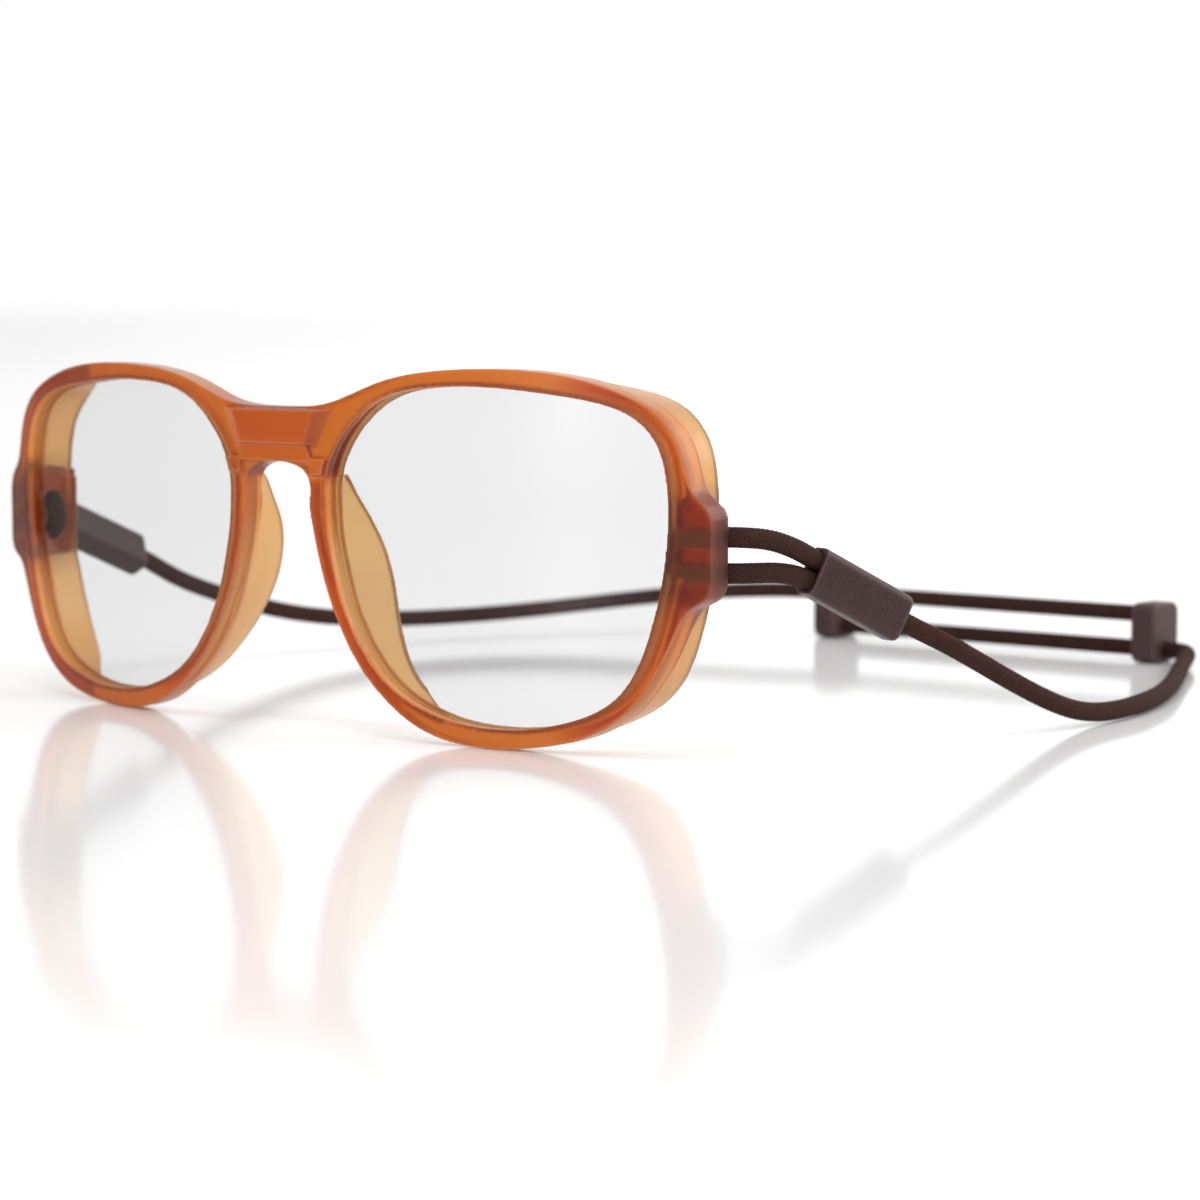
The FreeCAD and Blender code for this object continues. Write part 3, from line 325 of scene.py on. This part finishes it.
def lens_glass():
    """Clear lens with a faint grey tint that reflects only on its front and back faces."""
    t = Material("clear_lens")
    smear = t.noise(t.object_coords(), scale=60.0, distortion=0.4)
    clear = t.add("BsdfTransparent", Color=(0.888, 0.888, 0.890))
    gloss = t.add("BsdfGlossy", Color=(1.0, 1.0, 1.0), Roughness=t.vary(0.03, smear, by=0.05))
    # reflection: softened fresnel, off for shadow rays, inner sides and the lens edge
    reflection_share = 0.42
    facing_span = (0.35, 0.7)
    fac = t.math("MULTIPLY", t.add("Fresnel", IOR=1.48), reflection_share)
    shadow = t.add("LightPath").outputs["Is Shadow Ray"]
    fac = t.math("MULTIPLY", fac, t.invert(shadow))
    shape = t.add("NewGeometry")
    fac = t.math("MULTIPLY", fac, t.invert(shape.outputs["Backfacing"]))
    split = t.add("SeparateXYZ", Vector=shape.outputs["True Normal"])
    facing = t.remap(t.math("ABSOLUTE", split.outputs["Y"]), span=facing_span)
    fac = t.math("MULTIPLY", fac, facing)
    return t.finish(t.join("MixShader", fac, clear, gloss))


def cord_fabric():
    """Dark brown braid. The mesh gives the yarn crowns; the fibres come from here."""
    t = Material("braided_cord")
    uv = t.add("UVMap", {"uv_map": "along"}).outputs[0]
    fibre = t.noise(t.scaled(uv, (240.0, 3.0, 1.0)), scale=1.0, rough=0.7)
    patch = t.noise(t.object_coords(), scale=130.0, detail=2.0)
    # painted shade: the valleys between yarns darker, the crowns lighter
    colour = t.ramp(t.attribute("crown"), [
        (0.00, (0.009, 0.0042, 0.0034)),
        (0.45, (0.027, 0.0118, 0.0094)),
        (1.00, (0.050, 0.0215, 0.0170)),
    ])
    colour = t.stain(colour, t.attribute("tone"), share=0.5, to=(0.062, 0.028, 0.022), clamp=False)
    colour = t.stain(colour, fibre, above=0.42, share=0.9, to=(0.082, 0.040, 0.032))
    colour = t.stain(colour, patch, above=0.45, share=0.7, to=(0.028, 0.0135, 0.0112))
    return t.finish(t.add(
        "BsdfPrincipled", Base_Color=colour, Roughness=0.80, Specular_IOR_Level=0.08,
        Normal=t.bump(fibre, distance=0.00005, strength=0.6),
        Sheen_Weight=0.03, Sheen_Roughness=0.35, Sheen_Tint=(0.75, 0.62, 0.56)))


def grained_leather():
    """Dark brown leather-like skin of the sleeves: pebbled grain, creases, and edges lightened as
    rubbed wear and as a painted highlight.
    """
    t = Material("sleeve_leather")
    where = t.object_coords()
    cells = t.add("TexVoronoi", {"feature": "DISTANCE_TO_EDGE"}, Vector=where, Scale=2300.0)
    pebble = t.remap(cells.outputs["Distance"], span=(0.0, 0.16))
    fine = t.noise(where, scale=5200.0, detail=4.0, rough=0.6)
    fold = t.noise(where, scale=380.0, rough=0.55, distortion=1.2)
    colour = t.mix(pebble, (0.020, 0.0078, 0.0070), (0.045, 0.0185, 0.0168))
    colour = t.stain(colour, fold, above=0.4, share=0.8, to=(0.058, 0.026, 0.0235))
    # lighter sharp edges: partly rubbed wear, partly a painted highlight
    colour = t.stain(colour, t.attribute("edge"), share=0.55, to=(0.12, 0.070, 0.062))
    normal = t.bump(pebble, distance=0.00003, strength=0.22)
    normal = t.bump(fine, distance=0.000012, strength=0.25, normal=normal)
    normal = t.bump(fold, distance=0.00010, strength=0.16, normal=normal)
    return t.finish(t.add(
        "BsdfPrincipled", Base_Color=colour, Roughness=t.vary(0.36, fine, by=0.14),
        Normal=normal, Specular_IOR_Level=0.27, Coat_Weight=0.05, Coat_Roughness=0.32))


def moulded_plastic():
    """Dark brown slider blocks: fine moulded texture and lighter rubbed edges."""
    t = Material("slider_plastic")
    where = t.object_coords()
    grain = t.noise(where, scale=4200.0, detail=4.0, rough=0.65)
    cloud = t.noise(where, scale=240.0)
    colour = t.mix(cloud, (0.040, 0.0165, 0.0152), (0.068, 0.031, 0.028))
    colour = t.stain(colour, t.attribute("edge"), share=0.6, to=(0.13, 0.08, 0.072))
    return t.finish(t.add(
        "BsdfPrincipled", Base_Color=colour, Roughness=t.vary(0.46, grain, by=0.16),
        Normal=t.bump(grain, distance=0.00003, strength=0.45), Specular_IOR_Level=0.45))


def whipped_thread():
    """Thread wound round the splice."""
    t = Material("splice_thread")
    fibre = t.noise(t.object_coords(), scale=3000.0, rough=0.7)
    # painted shade: darker in the grooves between turns of thread
    colour = t.mix(t.attribute("crown"), (0.006, 0.004, 0.0035), (0.040, 0.024, 0.020))
    colour = t.stain(colour, fibre, share=0.3, to=(0.10, 0.07, 0.06), clamp=False)
    return t.finish(t.add(
        "BsdfPrincipled", Base_Color=colour, Roughness=0.7, Sheen_Weight=0.3,
        Normal=t.bump(fibre, distance=0.00003, strength=0.5)))


def dark_anodised():
    """End caps: dark anodised metal with turning marks and bright rubbed rims."""
    t = Material("ferrule_metal")
    lines = t.scaled(t.object_coords(), (9000.0, 300.0, 300.0))
    marks = t.noise(lines, scale=1.0, detail=2.0)
    colour = t.mix(marks, (0.050, 0.045, 0.043), (0.12, 0.11, 0.105))
    colour = t.mix(t.attribute("edge"), colour, (0.42, 0.40, 0.38))
    return t.finish(t.add(
        "BsdfPrincipled", Base_Color=colour, Metallic=0.9,
        Roughness=t.remap(marks, span=(0.2, 0.8), to=(0.28, 0.42)),
        Normal=t.bump(marks, distance=0.00001, strength=0.4)))


AMBER = amber_plastic()
LENS = lens_glass()
CORD = cord_fabric()
LEATHER = grained_leather()
MOULDED = moulded_plastic()
THREAD = whipped_thread()
METAL = dark_anodised()


# ------------------------------------------------------------------ mesh helpers
def link(name, data):
    ob = bpy.data.objects.new(name, data)
    bpy.context.scene.collection.objects.link(ob)
    return ob


def new_object(name, verts, faces, material):
    me = bpy.data.meshes.new(name)
    me.from_pydata([tuple(v) for v in verts], [], faces)
    me.materials.append(material)
    return link(name, me)


def rectangle(name, half_x, half_y, z, material):
    corners = [(-half_x, -half_y, z), (half_x, -half_y, z), (half_x, half_y, z), (-half_x, half_y, z)]
    return new_object(name, corners, [(0, 1, 2, 3)], material)


def shade_smooth(me):
    me.polygons.foreach_set("use_smooth", [True] * len(me.polygons))


def float_layer(me, name, values):
    layer = me.attributes.new(name, "FLOAT", "POINT")
    layer.data.foreach_set("value", np.asarray(values, np.float32))


def vertex_vectors(me, field):
    """One row per vertex of "co" or "normal"."""
    values = np.empty(len(me.vertices) * 3)
    me.vertices.foreach_get(field, values)
    return values.reshape(-1, 3)


def edge_ends(me):
    ends = np.empty(len(me.edges) * 2, dtype=np.int64)
    me.edges.foreach_get("vertices", ends)
    return ends.reshape(-1, 2).T


def mean_over_edges(me, ends, at_first, at_second):
    """Per vertex, the mean over its edges of the value given for that end of the edge."""
    n = len(me.vertices)
    first, second = ends
    total = (np.bincount(first, weights=at_first, minlength=n)
             + np.bincount(second, weights=at_second, minlength=n))
    count = np.bincount(first, minlength=n) + np.bincount(second, minlength=n)
    return total / np.maximum(count, 1)


def spread(me, values, rounds):
    """Averages a per-vertex value over its neighbours."""
    ends = edge_ends(me)
    first, second = ends
    for _ in range(rounds):
        values = 0.4 * values + 0.6 * mean_over_edges(me, ends, values[second], values[first])
    return values


def edge_wear_and_highlight(me, rounds=3, gain=0.0006):
    """How sharply the surface turns outward at each vertex, 0 on flats and 1 on sharp edges: the mask
    for worn edges and for the painted edge highlights on the frame.
    """
    co, no, ends = vertex_vectors(me, "co"), vertex_vectors(me, "normal"), edge_ends(me)
    first, second = ends
    step = co[second] - co[first]
    length = np.maximum(np.linalg.norm(step, axis=1), 1e-9)
    turn = ((no[second] - no[first]) * step).sum(1) / (length * length)
    curvature = spread(me, mean_over_edges(me, ends, turn, turn), rounds)      # 1/m
    return np.clip(curvature * gain, 0, 1)


def softened(node, name, voxel_mm, rounds, body, material):
    """The CAD part re-skinned as one even mesh, its moulded edges rounded."""
    ob = link(name, nodes[node].data.copy())
    ob.data.transform(Matrix.Scale(1000.0, 4))      # the modifiers work in millimetres
    skin = ob.modifiers.new("skin", "REMESH")
    skin.mode = "VOXEL"
    skin.voxel_size = voxel_mm * 1.0
    smooth = ob.modifiers.new("round", "SMOOTH")
    smooth.factor = 0.5
    smooth.iterations = rounds
    deps = bpy.context.evaluated_depsgraph_get()
    me = bpy.data.meshes.new_from_object(
        ob.evaluated_get(deps), preserve_all_data_layers=False, depsgraph=deps)
    ob.modifiers.clear()
    old = ob.data
    ob.data = me
    bpy.data.meshes.remove(old)
    me.transform(Matrix.Scale(0.001, 4))
    me.name = name
    me.materials.clear()
    me.materials.append(material)
    shade_smooth(me)
    me.update()
    float_layer(me, "edge", edge_wear_and_highlight(me))
    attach(ob, body)
    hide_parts(node)
    return ob


# ------------------------------------------------------------------ the front and lenses
LENS_NODES = ("lens_left", "lens_right")


def lens_tree():
    """Both lenses as one tree for nearest-point searches."""
    verts, faces = [], []
    for name in LENS_NODES:
        me = nodes[name].data
        base = len(verts)
        verts += [tuple(v.co) for v in me.vertices]
        faces += [tuple(base + i for i in p.vertices) for p in me.polygons]
    return BVHTree.FromPolygons(verts, faces)


def wall_map(me, lenses, full_mm=8.0, rim_mm=3.8):
    """Wall thickness behind each vertex as a share of full_mm, and where that wall is a lens lip, which
    the frame darkens as painted shade.

    A lip with a lens right behind it looks as deep as the whole rim, so it counts as rim_mm thick.
    """
    ray_offset, ray_reach = 0.00002, 0.02
    lip_thickest, lens_gap = 0.0019, 0.00035
    co, no = vertex_vectors(me, "co"), vertex_vectors(me, "normal")
    tree = BVHTree.FromPolygons([tuple(v) for v in co], [tuple(p.vertices) for p in me.polygons])
    wall = np.empty(len(co))
    lip = np.zeros(len(co))
    for i in range(len(co)):
        point, inward = Vector(co[i]), -Vector(no[i])
        place, _, _, distance = tree.ray_cast(point + inward * ray_offset, inward, ray_reach)
        wall[i] = distance if distance is not None else ray_reach
        if wall[i] < lip_thickest and abs(no[i][1]) > 0.5:
            if lenses.find_nearest(place, lens_gap)[0] is not None:
                lip[i] = 1.0
                wall[i] = rim_mm * MM
    wall = np.clip(wall / (full_mm * MM), 0, 1)
    return spread(me, wall, 10), spread(me, lip, 3)


def seat_shade_map(me, lenses, reach=0.0012, fade=0.00018, behind=0.0001):
    """Painted shade at the lens seats: 1 where the front lip meets a lens, falling to 0 a little way
    off and behind the lens.
    """
    co = vertex_vectors(me, "co")
    seat_shade = np.zeros(len(co))
    for i, point in enumerate(co):
        place, _, _, distance = lenses.find_nearest(Vector(point), reach)
        if place is not None and point[1] <= place.y + behind:
            seat_shade[i] = np.clip(1.25 - distance / fade, 0, 1)
    return spread(me, seat_shade, 2)


def cord_shade(me):
    """How much of the light inside the lugs the dark cord in the tunnel takes away."""
    surface, fade = 1.5, 5.4      # mm: where the shade starts to fall, and how far it reaches
    co = vertex_vectors(me, "co") * 1000
    shade = np.zeros(len(co))
    near = np.nonzero((np.abs(co[:, 0]) > 55) & (co[:, 2] > -28) & (co[:, 2] < -4))[0]
    for path in LOOPS.values():
        distance = np.full(len(near), 1e9)
        for point in path:
            if abs(point[0]) < 69.5 and point[1] < 17.5:      # the part inside the lug
                gap = np.linalg.norm(co[near] - np.array(point), axis=1)
                distance = np.minimum(distance, gap)
        shade[near] = np.maximum(shade[near], np.clip(1.20 - (distance - surface) / fade, 0, 1))
    # faces turned to the lens or to the back let more of the light behind them through
    no = vertex_vectors(me, "normal")
    inward = no[:, 0] * np.sign(co[:, 0]) < -0.2
    shade[inward | (no[:, 1] > 0.5)] *= 0.35
    return spread(me, shade, 4)


def build_front():
    me = softened("frame_front", "amber_front", voxel_mm=0.17, rounds=3,
                  body="front", material=AMBER).data
    lenses = lens_tree()
    wall, lip = wall_map(me, lenses)
    float_layer(me, "wall", wall)
    float_layer(me, "lip", lip)
    float_layer(me, "seat_shade", seat_shade_map(me, lenses))
    float_layer(me, "cord_shade", cord_shade(me))


build_front()
for lens_name in LENS_NODES:
    lens_materials = nodes[lens_name].data.materials
    lens_materials.clear()
    lens_materials.append(LENS)


# ------------------------------------------------------------------ cords, in millimetres
CORD_RADIUS = 1.4
CARRIERS = 12              # yarns in each of the two families
LAY = 9.0                  # length of one full turn of a yarn
YARN_DEPTH = 0.11          # from a yarn's crown to the valleys
RING_STEP = 0.145
RING_POINTS = 72
RUN_START = 60.0           # length the texture starts at on runs and tails
TAIL_PARTS = 30


def smooth_path(points, step):
    """Natural cubic spline through points, resampled evenly: places and lengths along it."""
    p = np.array(points, float)
    knots = np.concatenate([[0], np.cumsum(np.linalg.norm(np.diff(p, axis=0), axis=1))])
    n = len(p)
    h = np.diff(knots)
    system = np.zeros((n, n))
    target = np.zeros((n, 3))
    system[0, 0] = system[-1, -1] = 1.0
    for i in range(1, n - 1):
        system[i, i - 1:i + 2] = h[i - 1], 2 * (h[i - 1] + h[i]), h[i]
        target[i] = 6 * ((p[i + 1] - p[i]) / h[i] - (p[i] - p[i - 1]) / h[i - 1])
    bend = np.linalg.solve(system, target)      # second derivatives at the knots

    def at(x):
        i = np.clip(np.searchsorted(knots, x) - 1, 0, n - 2)
        gap = h[i][:, None]
        left, done = (knots[i + 1] - x)[:, None], (x - knots[i])[:, None]
        return ((bend[i] * left ** 3 + bend[i + 1] * done ** 3) / (6 * gap)
                + (p[i] / gap - bend[i] * gap / 6) * left
                + (p[i + 1] / gap - bend[i + 1] * gap / 6) * done)

    fine = at(np.linspace(0, knots[-1], int(knots[-1] / 0.05) + 2))
    length = np.concatenate([[0], np.cumsum(np.linalg.norm(np.diff(fine, axis=0), axis=1))])
    count = max(8, int(round(length[-1] / step)))
    want = np.linspace(0, length[-1], count + 1)
    return np.stack([np.interp(want, length, fine[:, k]) for k in range(3)], 1), want


def untwisted_axes(centre):
    """Two directions across the path at each point, carried along without twist."""
    tangent = np.gradient(centre, axis=0)
    tangent /= np.linalg.norm(tangent, axis=1)[:, None]
    side = np.zeros((len(centre), 3))
    v = np.cross(tangent[0], (0, 0, 1.0))
    v /= np.linalg.norm(v)
    for i in range(len(centre)):
        v = v - tangent[i] * np.dot(v, tangent[i])
        v /= np.linalg.norm(v)
        side[i] = v
    return side, np.cross(tangent, side)


def braid_pattern(angle, length):
    """Yarn height and yarn tone, both 0 to 1, on the grid of lengths by angles."""
    along = length[:, None]
    a = angle[None, :] * CARRIERS / (2 * math.pi) + along * CARRIERS / LAY
    b = angle[None, :] * CARRIERS / (2 * math.pi) - along * CARRIERS / LAY
    part_a, part_b = a - np.floor(a), b - np.floor(b)
    over = (np.floor(a) + np.floor(b)) % 2 == 0      # which family is on top in this diamond
    across = np.where(over, part_a, part_b)
    lengthwise = np.where(over, part_b, part_a)
    yarn = (np.sqrt(np.clip(1 - (2 * across - 1) ** 2, 0, 1))
            * (0.45 + 0.55 * np.sin(math.pi * lengthwise)))
    yarn_number = np.where(over, np.floor(a), np.floor(b) + 31.0)
    tone = (np.sin(yarn_number * 12.9898) * 43758.5453) % 1.0      # a scattered value per yarn
    return yarn, tone


def tube_faces(rings, around):
    """Quads between the rings, then a fan at each end round one extra vertex."""
    i, j = np.meshgrid(np.arange(rings - 1), np.arange(around), indexing="ij")
    k = (j + 1) % around
    corners = [(i + 1) * around + j, (i + 1) * around + k, i * around + k, i * around + j]
    faces = np.stack(corners, -1).reshape(-1, 4).tolist()
    first = rings * around
    base = first - around
    for j in range(around):
        k = (j + 1) % around
        faces.append((j, k, first))
        faces.append((base + k, base + j, first + 1))
    return faces


def braided(name, points, start=0.0):
    """A round braid: two families of yarns wound opposite ways, passing over and under."""
    centre, length = smooth_path(points, RING_STEP)
    side, up = untwisted_axes(centre)
    angle = np.linspace(0, 2 * math.pi, RING_POINTS, endpoint=False)
    yarn, tone = braid_pattern(angle, length + start)
    r = CORD_RADIUS - YARN_DEPTH + YARN_DEPTH * yarn
    skin = (centre[:, None, :] + side[:, None, :] * (r * np.cos(angle))[:, :, None]
            + up[:, None, :] * (r * np.sin(angle))[:, :, None])
    verts = np.vstack([skin.reshape(-1, 3) * MM, centre[0] * MM, centre[-1] * MM])
    ob = new_object(name, verts, tube_faces(len(centre), RING_POINTS), CORD)
    me = ob.data
    me.validate()
    shade_smooth(me)
    for layer, values in (("crown", yarn), ("tone", tone)):
        float_layer(me, layer, np.concatenate([values.reshape(-1), [0.3, 0.3]]))

    # u is the share of a turn, v the length in millimetres
    uv = me.uv_layers.new(name="along")
    corner = np.empty(len(me.loops), dtype=np.int64)
    me.loops.foreach_get("vertex_index", corner)
    u = np.concatenate([np.tile(angle / (2 * math.pi), len(centre)), [0, 0]])
    v = np.concatenate([np.repeat(length + start, RING_POINTS), [0, 0]])
    flat = np.stack([u[corner], v[corner]], 1).astype(np.float32).reshape(-1)
    uv.data.foreach_set("uv", flat)
    me.update()
    return ob


def register_cord(node):
    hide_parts(node)


def build_tail(side):
    """Straight cord end, laid along the middle of the CAD tail."""
    node = "cord_%s_tail" % side
    low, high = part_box(node)
    mid = (low + high) / 2
    x0, x1 = (high.x, low.x) if side == "left" else (low.x, high.x)
    line = [(1000 * (x0 + (x1 - x0) * i / TAIL_PARTS), 1000 * mid.y, 1000 * mid.z)
            for i in range(TAIL_PARTS + 1)]
    tail = braided("braid_%s_tail" % side, line, RUN_START)
    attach(tail, "strap")
    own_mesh(tail)
    register_cord(node)


for side, x_sign in (("left", 1), ("right", -1)):
    loop = braided("braid_%s_loop" % side, LOOPS[side])
    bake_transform(loop)
    register_cord("cord_%s_loop" % side)

    run = braided("braid_%s_run" % side, RUNS[side], RUN_START)
    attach(run, "strap")
    register_cord("cord_%s_run" % side)
    build_tail(side)


# ------------------------------------------------------------------ sleeves, splices, sliders, caps
def wind_thread(me, sleeve, pitch=0.42, slant=0.05, groove=0.06):
    """Presses the grooves between turns of thread into a splice; pitch and groove in mm."""
    co, no = vertex_vectors(me, "co"), vertex_vectors(me, "normal")
    along, across = np.array(sleeve["along"]), np.array(sleeve["across"])
    offset = co * 1000 - np.array(sleeve["mouth"])
    wind = np.abs(np.sin(math.pi * (offset @ along + slant * (offset @ across)) / pitch))
    pressed = co + no * (groove * (wind[:, None] - 1.0)) * MM
    me.vertices.foreach_set("co", pressed.reshape(-1))
    float_layer(me, "crown", wind)
    me.update()


for side in ("left", "right"):
    softened("sleeve_%s" % side, "leather_sleeve_%s" % side, voxel_mm=0.14, rounds=4,
             body="strap", material=LEATHER)
    splice = softened("cord_splice_%s" % side, "whipped_splice_%s" % side, voxel_mm=0.10, rounds=2,
                      body="strap", material=THREAD)
    wind_thread(splice.data, SLEEVES[side])
    softened("slider_%s" % side, "moulded_slider_%s" % side, voxel_mm=0.14, rounds=3,
             body="slider_%s" % side, material=MOULDED)
# each cord ends at the other side's slider
for side, other in (("left", "right"), ("right", "left")):
    softened("cord_end_ferrule_%s" % side, "end_cap_%s" % side, voxel_mm=0.09, rounds=2,
             body="slider_%s" % other, material=METAL)


# ------------------------------------------------------------------ floor and world
def floor_material():
    t = Material("studio_floor")
    cloud = t.noise(t.object_coords(), scale=6.0, detail=2.0)
    return t.finish(t.add(
        "BsdfPrincipled", Base_Color=(0.985, 0.985, 0.985), IOR=1.45, Specular_IOR_Level=0.5,
        Roughness=t.vary(0.10, cloud, by=0.02)))


def build_world():
    """A white studio, dimmer towards the wearer's right front so faces turned there fall in shade."""
    world = bpy.data.worlds.new("studio")
    bpy.context.scene.world = world
    t = Tree(world)
    dim_side = (-0.78, -0.62, -0.05)
    look = t.add("TexCoord").outputs["Generated"]
    toward = t.join("VectorMath", look, dim_side, settings={"operation": "DOT_PRODUCT"})
    shade = t.remap(toward.outputs["Value"], span=(-0.15, 0.85), to=(1.17, 0.28))
    camera_ray = t.add("LightPath").outputs["Is Camera Ray"]      # the camera sees full white
    background = t.nodes["Background"]
    t.put(background, "Color", (1.0, 1.0, 1.0))
    t.put(background, "Strength", t.math("MAXIMUM", shade, camera_ray))


rectangle("floor", half_x=12.0, half_y=12.0, z=cad_low.z - 0.0001,
                   material=floor_material())
build_world()


# ------------------------------------------------------------------ lights
def area(name, at, to, power, size, size_y=None):
    data = bpy.data.lights.new(name, "AREA")
    data.energy = power
    data.size = size
    if size_y:
        data.shape = "RECTANGLE"
        data.size_y = size_y
    ob = link(name, data)
    ob.location = at
    ob.rotation_euler = (Vector(to) - Vector(at)).to_track_quat("-Z", "Y").to_euler()


def softbox_glow():
    """White light that fades out from the middle of the panel, clear elsewhere."""
    t = Material("softbox_glow_nodes")
    glow_x, glow_y = 0.11, 0.075      # half sizes of the glowing oval
    flat = t.scaled(t.object_coords(), (1 / glow_x, 1 / glow_y, 1.0))
    ball = t.add("TexGradient", {"gradient_type": "QUADRATIC_SPHERE"}, Vector=flat)
    peak_strength = 5.5
    power = t.math("MULTIPLY", ball.outputs["Fac"], peak_strength)
    glow = t.add("Emission", Color=(1.0, 1.0, 1.0), Strength=power)
    return t.finish(t.join("AddShader", glow, t.add("BsdfTransparent")))


def softbox():
    """A panel that only reflections see: the soft white bloom on the left lens."""
    at, to = Vector((-0.105, -0.565, -0.012)), Vector((0.050, 0.0055, 0.0))
    ob = rectangle("softbox", half_x=0.13, half_y=0.09, z=0, material=softbox_glow())
    ob.location = at
    ob.rotation_euler = (to - at).to_track_quat("Z", "Y").to_euler()
    for ray in ("camera", "diffuse", "transmission", "volume_scatter", "shadow"):
        setattr(ob, "visible_" + ray, False)


# right in these names is +X, the right-hand side seen from in front
area("back_right", at=(0.55, 0.75, 0.45), to=(0.0, 0.05, -0.02), power=2.0, size=0.55)
area("front_right", at=(0.75, -0.35, 0.35), to=(0.02, 0.0, -0.02), power=0.5, size=0.25)
area("top_strip", at=(0.03, -0.12, 0.52), to=(0.0, 0.0, 0.0), power=0.5, size=0.20, size_y=0.03)
softbox()


# ------------------------------------------------------------------ camera
def build_camera():
    heading, pitch = 0.6819, 0.0935      # radians: from +Y towards -X, and downwards
    focus_distance = 0.425
    data = bpy.data.cameras.new("camera")
    data.lens = 96.0
    data.sensor_width = 36.0
    data.clip_start = 0.01
    data.clip_end = 60.0
    data.dof.use_dof = True
    data.dof.aperture_fstop = 26.0
    camera = link("camera", data)
    camera.location = (0.32018, -0.32087, 0.01766)
    forward = Vector((-math.sin(heading) * math.cos(pitch), math.cos(heading) * math.cos(pitch),
                      -math.sin(pitch)))
    camera.rotation_euler = forward.to_track_quat("-Z", "Y").to_euler()
    # a fixed point on the near rim keeps the glasses sharp when they are seen from another side
    focus = link("focus_point", None)
    focus.location = camera.location + focus_distance * forward
    data.dof.focus_object = focus
    bpy.context.scene.camera = camera


build_camera()
bpy.context.scene.view_settings.view_transform = "Standard"
